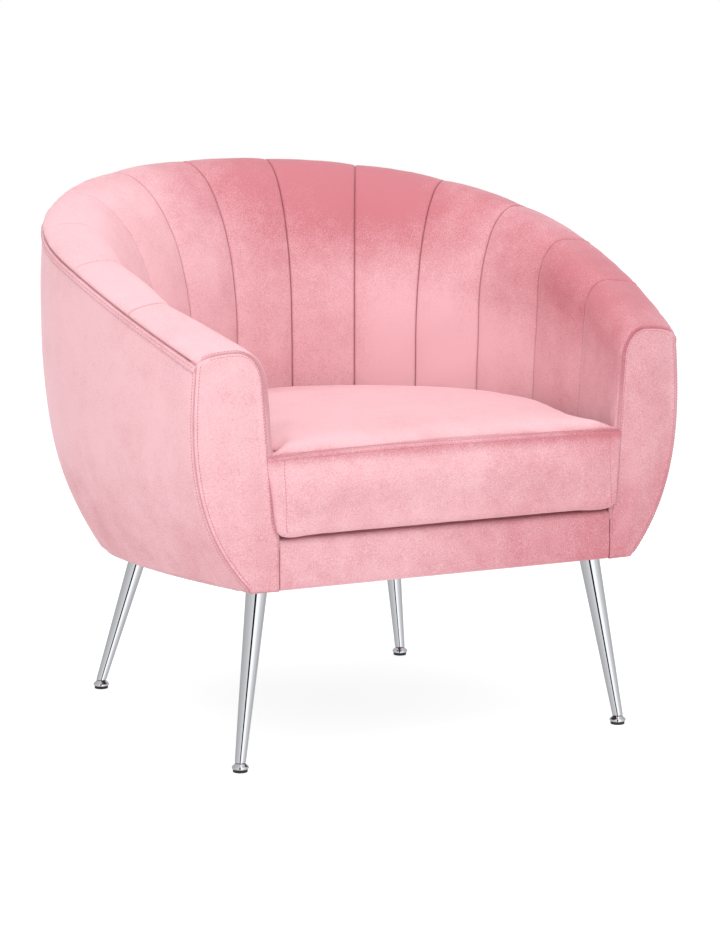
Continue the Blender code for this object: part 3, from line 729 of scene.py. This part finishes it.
def panel_sides():
    """Outer and inner edges (depth, z) of an arm front, each from the foot up to the crest."""
    u = 1.0
    rise = float(between(CREST_RISE, u))
    width = float(between(TOP_WIDTH, u))
    crest = float(between(CREST_SHARE, u)) * width
    drop = float(between(ROLL_DROP, u))
    rim = float(rim_height(u))
    z = np.linspace(BODY_BOTTOM, rim, 60)
    up = np.linspace(0, 1, 14)[1:] * math.pi / 2
    outer = np.column_stack((
        np.concatenate((outer_depth(u, z), crest * (1 - np.cos(up)))),
        np.concatenate((z, rim + rise * np.sin(up))),
    ))
    roll_end = float(top_roll_end(u))
    low = np.linspace(BORDER_TOP + 0.02, roll_end, 40)
    down = np.linspace(1, 0, 24)[1:] * math.pi / 2
    foot = np.array([[PANEL_FOOT_DEPTH, BODY_BOTTOM], [PANEL_FOOT_DEPTH, BORDER_TOP]])
    inner = np.column_stack((
        np.concatenate((foot[:, 0], inner_depth(u, low), crest + (width - crest) * np.sin(down))),
        np.concatenate((foot[:, 1], low, rim + rise - drop * (1 - np.cos(down)))),
    ))
    return outer, inner


def resample(line, count):
    length = np.append(0, np.cumsum(np.linalg.norm(np.diff(line, axis=0), axis=1)))
    at = np.linspace(0, length[-1], count)
    return np.column_stack([np.interp(at, length, line[:, k]) for k in range(line.shape[1])])


def panel_points(side, back, depth, z):
    """World points of an arm front, back metres behind its face."""
    inward = inward_at(side)
    back = np.broadcast_to(back, np.shape(depth))
    found = []
    for b, d, h in zip(np.ravel(back), np.ravel(depth), np.ravel(z)):
        u = side * (1 - max(b, 0) / HALF)
        x, y = rim_point(u) + inward * d
        if b < 0:
            x, y = np.array((x, y)) + side * forward_at(side) * -b
        found.append((x, y, h))
    return np.array(found)


def edge_distance(points, line):
    """Distance of each point to a polyline, both plane."""
    a, b = line[:-1], line[1:]
    ab = b - a
    t = np.einsum("pij,ij->pi", points[:, None, :] - a[None], ab) / (np.sum(ab**2, 1) + 1e-12)
    near = a[None] + np.clip(t, 0, 1)[:, :, None] * ab[None]
    return np.linalg.norm(points[:, None, :] - near, axis=2).min(1)


def sheet_faces(rows, columns):
    """Faces of a front grid, a back grid that follows it, and the edge between them."""
    count = rows * columns
    faces = []
    for i in range(rows - 1):
        for j in range(columns - 1):
            a = i * columns + j
            quad = (a, a + 1, a + columns + 1, a + columns)
            faces.append(quad)
            faces.append(tuple(count + quad[k] for k in (0, 3, 2, 1)))
    edge = list(range(columns))
    edge += [i * columns + columns - 1 for i in range(1, rows)]
    edge += [(rows - 1) * columns + j for j in range(columns - 2, -1, -1)]
    edge += [i * columns for i in range(rows - 2, 0, -1)]
    for a, b in zip(edge, edge[1:] + edge[:1]):
        faces.append((a, count + a, count + b, b))
    return faces


def make_panels():
    outer, inner = panel_sides()
    rows, columns = 110, 31
    left = resample(outer, rows)
    right = resample(inner, rows)
    across = (1 - np.cos(np.linspace(0, math.pi, columns))) / 2
    share = across[None, :, None]
    grid = left[:, None, :] * (1 - share) + right[:, None, :] * share
    grid = grid[:-1]
    rows -= 1
    flat = grid.reshape(-1, 2)
    loop = np.concatenate((left, right[::-1], left[:1]))
    gap = edge_distance(flat, loop)
    gap[(grid[:, :, 1] < BODY_BOTTOM + 0.0001).reshape(-1)] = 0
    crown = PANEL_CROWN * smooth(gap, 0, 0.045) - 0.0026 * rounding(gap, 0.004)
    crown += 0.0010 * bell(gap, 0.006, 0.003)
    waves = wobble(flat[:, 1] * 60 + flat[:, 0] * 35, 8.0)
    crown += 0.0006 * waves * smooth(gap, 0.003, 0.03)
    # Painted seam shade round the arm front's edge
    seam = painted_seam_shade(gap, PAD_SHADE_WIDTH)
    faces = sheet_faces(rows, columns)
    made = {}
    for side, word in ((-1, "left"), (1, "right")):
        front = panel_points(side, -(crown + 0.0004), flat[:, 0], flat[:, 1])
        behind = panel_points(side, PANEL_FACE, flat[:, 0], flat[:, 1])
        points = np.concatenate((front, behind))
        # Painted shade: darker towards the foot, and the whole right arm front darker than the
        # left
        tone = 0.10 + 0.28 * smooth(flat[:, 1], 0.50, 0.28) + (0.34 if side > 0 else 0.0)
        looks = {"painted_shade": np.concatenate((tone, tone)), "seam": np.concatenate((seam, seam * 0))}
        obj = outward(make_object(f"velvet_arm_front_{word}", points, faces, VELVET, looks))
        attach(obj, SHELL)
        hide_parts(f"arm_front_panel_{word}")
        made[word] = obj
    return made


def border_front():
    """Half width and y of the border's face, where it meets the arm fronts."""
    corner = panel_points(1, 0.0, np.array([PANEL_FOOT_DEPTH]), np.array([0.0]))[0]
    return corner[0], corner[1]


def make_border():
    half_width, front = border_front()
    height = BORDER_TOP - BODY_BOTTOM
    r = BORDER_ROUND
    section = []
    for angle in np.linspace(-math.pi / 2, -math.pi, 7):
        section.append((r + r * math.cos(angle), r + r * math.sin(angle)))
    for z in np.linspace(0.010, height - 0.010, 14):
        section.append((0.0, z))
    for angle in np.linspace(math.pi, math.pi / 2, 7):
        section.append((r + r * math.cos(angle), height - r + r * math.sin(angle)))
    seen = len(section)
    section += [(0.03, height), (0.06, height), (BORDER_FLAP, height)]
    section += [(BORDER_FLAP, height - 0.006), (0.012, height - 0.006)]
    section += [(0.012, 0.0025), (0.035, 0.0025), (0.035, 0.0)]
    section = np.array(section)
    count = len(section)
    share = (section[:, 1] / height).clip(0, 1)
    arch = np.sin(math.pi * share)
    near = np.array((*NEAR_END, 0.009))
    length = 2 * half_width
    middle = np.arange(0.014, length - 0.013, 0.006)
    sections = []
    for distance in np.concatenate((near, middle, length - near[::-1])):
        gap = min(distance, length - distance)
        x = distance - half_width
        lift = BORDER_CROWN * arch * float(smooth(gap, 0, 0.03))
        lift += 0.0008 * wobble(x * 45 + share * 3, 6.0) * arch
        lift -= 0.0022 * rounding(np.array(gap), 0.003)
        y = section[:, 0] - lift * (np.arange(count) < seen)
        points = np.column_stack((np.full(count, x), front + y, BODY_BOTTOM + section[:, 1]))
        # Painted shade: darker towards the right end and the bottom; painted seam shade at both
        # ends
        right = smooth(np.array(x), -0.1, 0.26)
        painted_shade = np.full(count, 0.28) + 0.48 * right + 0.1 * (1 - share)
        sections.append((points, painted_shade, np.full(count, painted_seam_shade(gap, PAD_SHADE_WIDTH))))
    obj = velvet_loft("velvet_front_border", sections)
    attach(obj, SHELL)
    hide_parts("seat_front_border")


# ---- seat cushion


def seam_height(x):
    """Height of the cushion's front seam, a little higher in the middle."""
    return SEAM_LOW + SEAM_BOW * (1 - (x / SEAM_REACH) ** 2)


def cushion_side_depth(u, share):
    """How far in from the rim the cushion's side stands, clear of the pads' crowns."""
    z = mix(CUSHION_BOTTOM, CUSHION_EDGE_TOP, share)
    pads = max(float(inner_depth(u, z)), float(inner_depth(u, BORDER_TOP)) - 0.012)
    return pads + 0.009 + 0.004


def cushion_outline(share, ear):
    """The cushion in plan, round the back and the front; ear widens its front corners."""
    last = SEAMS[-2]
    sides = []
    for i in range(89):
        u = last * (i / 44 - 1)
        depth = np.array([cushion_side_depth(u, share)])
        sides.append(place(u, depth, np.zeros(1))[0][:2])
    half_front = mix(0.252, mix(0.261, EAR_HALF_WIDTH, share), ear)
    front = -OVERALL_DEPTH / 2 + 0.0015 + 0.009 * share
    corner = mix(0.060, 0.013, ear)
    right = [(0.2555, -0.325), (0.2575, -0.338)] if ear > 0.5 else []
    steps = 8
    for i in range(steps + 1):
        angle = math.pi / 2 * i / steps
        right.append((
            half_front - corner + corner * math.cos(angle),
            front + corner - corner * math.sin(angle),
        ))
    left = [(-x, y) for x, y in reversed(right)]
    loop = np.array(sides + right + left)
    return resample(np.concatenate((loop, loop[:1])), 241)[:-1]


def cushion_levels():
    """(height, share of height, size) of rings over the cushion's surface."""
    low, high = CUSHION_BOTTOM, CUSHION_EDGE_TOP
    levels = [(low, 0.0, size) for size in (0.12, 0.3, 0.5, 0.7, 0.85, 0.93)]
    levels += [(low + 0.001, 0.0, 0.965), (low + 0.005, 0.02, 0.985)]
    for share in (0.10, 0.18, 0.3, 0.45, 0.6, 0.75, 0.88, 0.97):
        levels.append((mix(low, high, share), share, 1.0))
    for size in (0.985, 0.955, 0.9, 0.82, 0.72, 0.6, 0.46, 0.3, 0.15):
        levels.append((high + CUSHION_CROWN * (1 - size**3) ** 0.75, 1.0, size))
    return levels


def evaluated(obj):
    """Puts the modified mesh in place of the plain one, with no modifier left."""
    graph = bpy.context.evaluated_depsgraph_get()
    mesh = bpy.data.meshes.new_from_object(obj.evaluated_get(graph))
    obj.modifiers.clear()
    obj.data = mesh


def vertices(obj, key="co"):
    values = np.zeros(len(obj.data.vertices) * 3, np.float32)
    obj.data.vertices.foreach_get(key, values)
    return values.reshape(-1, 3).astype(float)


def set_vertices(obj, co):
    obj.data.vertices.foreach_set("co", co.astype(np.float32).ravel())
    obj.data.update()


def inflate(obj, voxel, shrink, cap, pressure):
    """Remeshes a closed pad, draws it in by shrink, then blows it up with cloth, capped."""
    remesh = obj.modifiers.new("voxels", "REMESH")
    remesh.mode = "VOXEL"
    remesh.voxel_size = voxel
    evaluated(obj)
    start = vertices(obj) - shrink * vertices(obj, "normal").astype(np.float32)
    set_vertices(obj, start)
    cloth = obj.modifiers.new("cloth", "CLOTH")
    settings = cloth.settings
    settings.quality = 5
    settings.mass = 0.3
    settings.tension_stiffness = 18
    settings.compression_stiffness = 18
    settings.shear_stiffness = 8
    settings.bending_stiffness = 0.6
    settings.use_pressure = True
    settings.uniform_pressure_force = pressure
    settings.effector_weights.gravity = 0
    scene = bpy.context.scene
    for number in range(1, CLOTH_FRAMES + 1):
        scene.frame_set(number)
    graph = bpy.context.evaluated_depsgraph_get()
    moved = np.zeros(len(obj.data.vertices) * 3, np.float32)
    obj.evaluated_get(graph).to_mesh().vertices.foreach_get("co", moved)
    step = moved.reshape(-1, 3) - start
    size = np.linalg.norm(step, axis=1, keepdims=True) + 1e-9
    obj.modifiers.clear()
    scene.frame_set(1)
    set_vertices(obj, start + step * np.minimum(1, cap / size))


def make_cushion():
    rings = []
    for z, share, size in cushion_levels():
        outline = cushion_outline(share, float(smooth(size, 0.90, 1.0)))
        middle = np.array((0.0, -0.08))
        rings.append(np.column_stack((mix(middle, outline, size), np.full(len(outline), z))))
    points = np.concatenate(rings)
    faces = loft_faces(len(rings), len(rings[0]))
    obj = outward(make_object("velvet_seat_cushion", points, faces, VELVET_CUSHION))
    inflate(obj, voxel=0.0055, shrink=0.0025, cap=0.0085, pressure=4.0)
    soften = obj.modifiers.new("rounded", "SUBSURF")
    soften.levels = 1
    evaluated(obj)
    co = vertices(obj)
    # Front corners out over the arm fronts, and the front out to the front of the chair
    lip = smooth(co[:, 1], -0.318, -0.352)
    widest = np.abs(co[co[:, 1] < -0.345, 0]).max()
    co[:, 0] *= 1 + lip * (EAR_HALF_WIDTH / widest - 1)
    to_front = -OVERALL_DEPTH / 2 + 0.001 - co[:, 1].min()
    co[:, 1] += smooth(co[:, 1], -0.25, -0.33) * to_front
    # The top dips to its front corners, puckers at the seam and waves a little
    side = np.clip(np.abs(co[:, 0]) - 0.2, 0, 1)
    front = smooth(co[:, 1], -0.25, -0.34)
    co[:, 2] -= 0.0035 * front * smooth(side, 0.02, 0.075) * smooth(co[:, 2], 0.40, 0.43)
    ripple = wobble(co[:, 0] * 95 + co[:, 1] * 30, 4.0) * bell(co[:, 2], 0.424, 0.012)
    co[:, 1] += 0.0009 * ripple * front
    folds = wobble(co[:, 0] * 17 + co[:, 1] * 9, 9.0) * smooth(co[:, 2], 0.40, 0.44)
    co[:, 2] += 0.0013 * folds
    # The underside rests flat on the deck, and its front edge hangs over the border
    drawn = np.percentile(co[:, 2], 5) - CUSHION_BOTTOM
    co[:, 2] -= drawn * smooth(co[:, 2], 0.40, 0.33)
    co[:, 2] = np.maximum(co[:, 2], CUSHION_BOTTOM)
    sag = smooth(co[:, 1], -0.347, -0.357) * smooth(co[:, 2], 0.39, 0.33)
    co[:, 2] -= CUSHION_SAG * sag
    set_vertices(obj, co)
    obj.data.shade_smooth()
    # Painted shade, darker on the sides, at the seam, at the back and beside the left arm
    high = smooth(co[:, 2], 0.425, 0.442)
    band = bell(co[:, 2], 0.425, 0.008) * front * 0.45
    painted_shade = 0.24 * (1 - high) * front + 0.30 * (1 - front) * (1 - high)
    painted_shade += 0.30 * high * smooth(co[:, 1], 0.0, 0.12) + band
    painted_shade += 0.40 * smooth(co[:, 0], 0.0, 0.27) * (1 - high)
    painted_shade += 0.34 * high * bell(co[:, 0], -0.235, 0.035) * bell(co[:, 1], -0.20, 0.08)
    layer = obj.data.attributes.get("painted_shade") or obj.data.attributes.new("painted_shade", "FLOAT", "POINT")
    layer.data.foreach_set("value", painted_shade.astype(np.float32))
    if not obj.data.materials:  # a voxel remesh may drop it
        obj.data.materials.append(VELVET_CUSHION)
    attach(obj, CUSHION)
    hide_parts("cushion_cover", "cushion_foam")
    return obj


# ---- stitching


STITCH_PROFILE = ((-0.5, 0.35), (-0.36, 1.0), (0.0, 1.15), (0.36, 1.0), (0.5, 0.35))
STITCH_SIDES = 6
STITCH_FACES = loft_faces(len(STITCH_PROFILE), STITCH_SIDES)


def sew(name, target, paths, body):
    """Short threads along paths laid on a piece's surface, as one object."""
    mesh = target.data
    corners = [v.co.copy() for v in mesh.vertices]
    tree = BVHTree.FromPolygons(corners, [tuple(p.vertices) for p in mesh.polygons])
    points, faces = [], []
    for path in paths:
        path = np.asarray(path, float)
        size = float(np.linalg.norm(np.diff(path, axis=0), axis=1).sum())
        dots = resample(path, max(3, int(size / STITCH_PITCH)))
        for a, b in zip(dots[:-1], dots[1:]):
            spot, normal, _, _ = tree.find_nearest(Vector((a + b) / 2), 0.02)
            if spot is None:
                continue
            along = Vector(b - a)
            along = (along - normal * along.dot(normal)).normalized()
            across = normal.cross(along)
            centre = spot + normal * STITCH_ABOVE
            base = len(points)
            for share, wide in STITCH_PROFILE:
                middle = centre + along * (share * STITCH_LENGTH)
                for k in range(STITCH_SIDES):
                    angle = 2 * math.pi * k / STITCH_SIDES
                    lift = across * math.cos(angle) + normal * math.sin(angle)
                    points.append(middle + lift * (STITCH_RADIUS * wide))
            faces += [tuple(base + f for f in face) for face in STITCH_FACES]
    obj = make_object(name, points, faces, THREAD)
    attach(obj, body)
    return obj


def panel_row(side, inset, first, last):
    """A row on an arm front, inset from its seam, between two shares of the way round it."""
    outer, inner = panel_sides()
    loop = resample(np.concatenate((outer, inner[::-1][1:])), 240)
    run = np.gradient(loop, axis=0)
    run /= np.linalg.norm(run, axis=1, keepdims=True)
    row = loop + inset * np.column_stack((run[:, 1], -run[:, 0]))
    row = row[int(first * (len(row) - 1)):int(last * (len(row) - 1))]
    return panel_points(side, -0.004, row[:, 0], row[:, 1])


def rim_rows(span):
    """The rows below the rim seam, over a span of places u."""
    rows = []
    for drop in RIM_ROWS:
        row = []
        for u in span:
            z = np.array([rim_height(u) - drop])
            row.append(place(u, outer_depth(u, z), z)[0])
        rows.append(np.array(row))
    return rows


def make_stitching(channels, covers, panels, cushion):
    inset = 0.004
    for word, side in (("left", -1), ("right", 1)):
        near = side * (1 - END_ROW / HALF)
        z = np.linspace(BODY_BOTTOM + 0.006, rim_height(near) - 0.008, 60)
        span = np.linspace(SEAMS[CHANNELS - CORNER] + inset, 1 - inset, 120) * side
        rows = [place(near, outer_depth(near, z), z)] + rim_rows(span)
        sew(f"stitching_cover_{word}", covers[word], rows, SHELL)
        rows = [panel_row(side, PANEL_ROW, 0.02, 0.46), panel_row(side, PANEL_ROW, 0.48, 0.97)]
        sew(f"stitching_front_{word}", panels[word], rows, SHELL)
        pad = channels[0 if side < 0 else -1]
        depth, height, _ = pad_path(near)
        inside = height > 0.335
        row = place(near, depth[inside][3:], height[inside][3:])
        sew(f"stitching_arm_{word}", pad, [row], SHELL)
    span = np.linspace(SEAMS[CORNER] + inset, SEAMS[CHANNELS - CORNER] - inset, 200)
    sew("stitching_cover_back", covers["back"], rim_rows(span), SHELL)
    front = -OVERALL_DEPTH / 2
    x = np.linspace(-0.258, 0.258, 80)
    rise = seam_height(x)
    rows = [np.column_stack((x, np.full(80, front + 0.006), rise - 0.0038))]
    rows.append(np.column_stack((x, np.full(80, front + 0.016), rise + 0.0045)))
    for side in (-1, 1):
        z = np.linspace(CUSHION_BOTTOM + 0.006, 0.424, 30)
        rows.append(np.column_stack((np.full(30, side * 0.2525), np.full(30, front), z)))
    sew("stitching_cushion", cushion, rows, CUSHION)


# ---- legs and glides


FEET = {
    "front_left": ((-0.298, -0.315), (-0.261, -0.2925)),
    "front_right": ((0.298, -0.315), (0.261, -0.2925)),
    "back_left": ((-0.254, 0.2445), (-0.203, 0.190)),
    "back_right": ((0.254, 0.2445), (0.203, 0.190)),
}
LEG_LOW, LEG_HIGH = 0.0128, 0.2421
LEG_THIN, LEG_THICK = 0.0075, 0.0145

# Turned profiles as (radius, height)
LEG_END = [(0.0060, 0.0), (0.0068, 0.0001), (0.0073, 0.0006), (0.0075, 0.0016)]
GLIDE = [
    (0.0088, 0.0040), (0.0102, 0.0042), (0.0110, 0.0050), (0.0115, 0.0062),
    (0.0115, 0.0072), (0.0111, 0.0080), (0.0100, 0.0090), (0.0085, 0.0104),
    (0.0072, 0.0120), (0.0060, 0.0124), (0.0030, 0.0125), (0.0030, 0.0245),
]
SOLE = [
    (0.0086, 0.0), (0.0094, 0.0002), (0.0100, 0.0009),
    (0.0100, 0.0030), (0.0096, 0.0036), (0.0088, 0.0037),
]


def lathe(name, centre_at, profile, material, segments):
    """A turned piece through (radius, z), with its axis following centre_at(z)."""
    angle = np.linspace(0, 2 * math.pi, segments, endpoint=False)
    points = []
    for radius, z in profile:
        x, y = centre_at(z)
        ring = (x + radius * np.cos(angle), y + radius * np.sin(angle), np.full(segments, z))
        points.append(np.column_stack(ring))
    points = np.concatenate(points)
    faces = loft_faces(len(profile), segments)
    crease = math.radians(28)
    return outward(make_object(name, points, faces, material, smooth_angle=crease))


def make_legs():
    profile = [(radius, LEG_LOW + z) for radius, z in LEG_END]
    for share in np.linspace(0.02, 1, 24):
        profile.append((mix(LEG_THIN, LEG_THICK, share), mix(LEG_LOW, LEG_HIGH, share)))
    for word, (foot, top) in FEET.items():
        def leaning(z, foot=foot, top=top):
            share = (z - LEG_LOW) / (LEG_HIGH - LEG_LOW)
            return mix(foot[0], top[0], share), mix(foot[1], top[1], share)

        def upright(z, foot=foot):
            return foot

        leg = lathe(f"chrome_leg_{word}", leaning, profile, CHROME, 64)
        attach(leg, SHELL)
        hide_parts(f"leg_{word}")
        glide = lathe(f"chrome_glide_{word}", upright, GLIDE, CHROME, 48)
        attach(glide, f"glide_screw_{word}")
        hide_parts(f"glide_{word}")
        pad = lathe(f"rubber_pad_{word}", upright, SOLE, RUBBER, 48)
        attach(pad, f"glide_foot_{word}")
        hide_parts(f"glide_pad_{word}")


# ---- carried-over nodes


# Material by the start of a node's name; the rest is wood
NODE_LOOKS = (
    ("seat_strap", WEBBING), ("seat_deck", DECK), ("dust_cover", CAMBRIC), ("cushion_foam", FOAM),
    ("cushion_zip", ZIP), ("leg_plate", STEEL), ("leg_", CHROME), ("glide_", CHROME),
    ("outer", VELVET), ("channel", VELVET), ("arm_front", VELVET), ("seat_front", VELVET),
    ("cushion_cover", VELVET),
)


def paint_nodes():
    for name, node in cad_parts.items():
        fitting = (material for start, material in NODE_LOOKS if name.startswith(start))
        node.data.materials.clear()
        node.data.materials.append(next(fitting, WOOD))


# ---- stage, light, camera


def make_stage():
    n = Nodes("floor_white")
    half = 9
    corners = [(-half, -half, 0), (half, -half, 0), (half, half, 0), (-half, half, 0)]
    floor = make_object("floor", corners, [(0, 1, 2, 3)], n.material)
    speckle = n.noise(3, 2, 0.5)
    n.surface("Base Color", n.blend(speckle, (0.40, 0.40, 0.405), (0.43, 0.43, 0.435)))
    n.surface("Roughness", 0.85)
    n.surface("Specular IOR Level", 0.1)
    n.surface("Emission Color", (1, 1, 1, 1))
    n.surface("Emission Strength", 0.80)
    floor.visible_glossy = False


# Tones round the studio that the chrome mirrors, as (share of the way round, tone)
STUDIO = (
    (0.0, 0.48), (0.20, 0.54), (0.36, 0.68), (0.43, 0.80), (0.462, 0.95), (0.468, 0.012),
    (0.520, 0.012), (0.526, 1.35), (0.61, 1.25), (0.67, 0.84), (0.80, 0.56), (1.0, 0.48),
)
STUDIO_TURN = math.radians(117.6)
WORLD_STRENGTH = {"seen": 1.0, "cards": 1.0, "light": 0.66}


def make_world():
    """White to the eye, softer as light, and a studio of cards for the chrome to mirror."""
    world = bpy.data.worlds.new("studio")
    bpy.context.scene.world = world
    world.use_nodes = True
    tree = world.node_tree
    tree.nodes.clear()
    new = tree.nodes.new
    link = tree.links.new
    out = new("ShaderNodeOutputWorld")
    coord = new("ShaderNodeTexCoord").outputs["Generated"]
    split = new("ShaderNodeSeparateXYZ")
    angle = new("ShaderNodeMath")
    angle.operation = "ARCTAN2"
    turned = new("ShaderNodeVectorRotate")
    turned.rotation_type = "Z_AXIS"
    turned.inputs["Angle"].default_value = STUDIO_TURN
    link(coord, turned.inputs["Vector"])
    link(turned.outputs[0], split.inputs[0])
    link(split.outputs[1], angle.inputs[0])
    link(split.outputs[0], angle.inputs[1])
    share = new("ShaderNodeMapRange")
    share.inputs["From Min"].default_value = -math.pi
    share.inputs["From Max"].default_value = math.pi
    link(angle.outputs[0], share.inputs["Value"])
    cards = new("ShaderNodeValToRGB")
    ramp = cards.color_ramp
    while len(ramp.elements) < len(STUDIO):
        ramp.elements.new(0.5)
    for element, (at, tone) in zip(ramp.elements, STUDIO):
        element.position = at
        element.color = (tone, tone, tone * 1.01, 1)
    link(share.outputs[0], cards.inputs[0])
    shades = {}
    for name, strength in WORLD_STRENGTH.items():
        shades[name] = new("ShaderNodeBackground")
        shades[name].inputs["Color"].default_value = (1, 1, 1, 1)
        shades[name].inputs["Strength"].default_value = strength
    link(cards.outputs[0], shades["cards"].inputs["Color"])
    path = new("ShaderNodeLightPath")
    glossy = new("ShaderNodeMixShader")
    link(path.outputs["Is Glossy Ray"], glossy.inputs[0])
    link(shades["light"].outputs[0], glossy.inputs[1])
    link(shades["cards"].outputs[0], glossy.inputs[2])
    camera = new("ShaderNodeMixShader")
    link(path.outputs["Is Camera Ray"], camera.inputs[0])
    link(glossy.outputs[0], camera.inputs[1])
    link(shades["seen"].outputs[0], camera.inputs[2])
    link(camera.outputs[0], out.inputs[0])


def area(name, location, target, size, power):
    light = bpy.data.lights.new(name, "AREA")
    light.energy = power
    light.size = size
    obj = bpy.data.objects.new(name, light)
    obj.location = location
    aim = Vector(target) - Vector(location)
    obj.rotation_euler = aim.to_track_quat("-Z", "Y").to_euler()
    obj.visible_glossy = False
    bpy.context.scene.collection.objects.link(obj)


def make_lights():
    area("key", (-2.6, -2.4, 3.2), (0, 0, 0.4), size=2.2, power=46)
    area("front", (-1.2, -4.2, 2.0), (0, 0.1, 0.5), size=2.4, power=40)
    area("above", (0.0, -0.5, 3.4), (0, 0, 0.4), size=2.8, power=52)


# Camera fitted to the photograph
CAMERA_LENS = 126.35
CAMERA_PLACE = (-2.159, -4.1222, 1.0575)
CAMERA_TURN = (math.radians(81.38), 0, math.radians(-28.21))


def make_camera():
    data = bpy.data.cameras.new("camera")
    data.lens = CAMERA_LENS
    data.sensor_width = 36
    data.clip_start = 0.1
    data.clip_end = 60
    camera = bpy.data.objects.new("camera", data)
    camera.location = CAMERA_PLACE
    camera.rotation_euler = CAMERA_TURN
    bpy.context.scene.collection.objects.link(camera)
    bpy.context.scene.camera = camera


bpy.context.scene.view_settings.view_transform = "Standard"
paint_nodes()
channels = make_channels()
covers = make_covers()
panels = make_panels()
make_border()
cushion = make_cushion()
make_stitching(channels, covers, panels, cushion)
make_legs()
make_stage()
make_world()
make_lights()
make_camera()
bpy.context.view_layer.update()
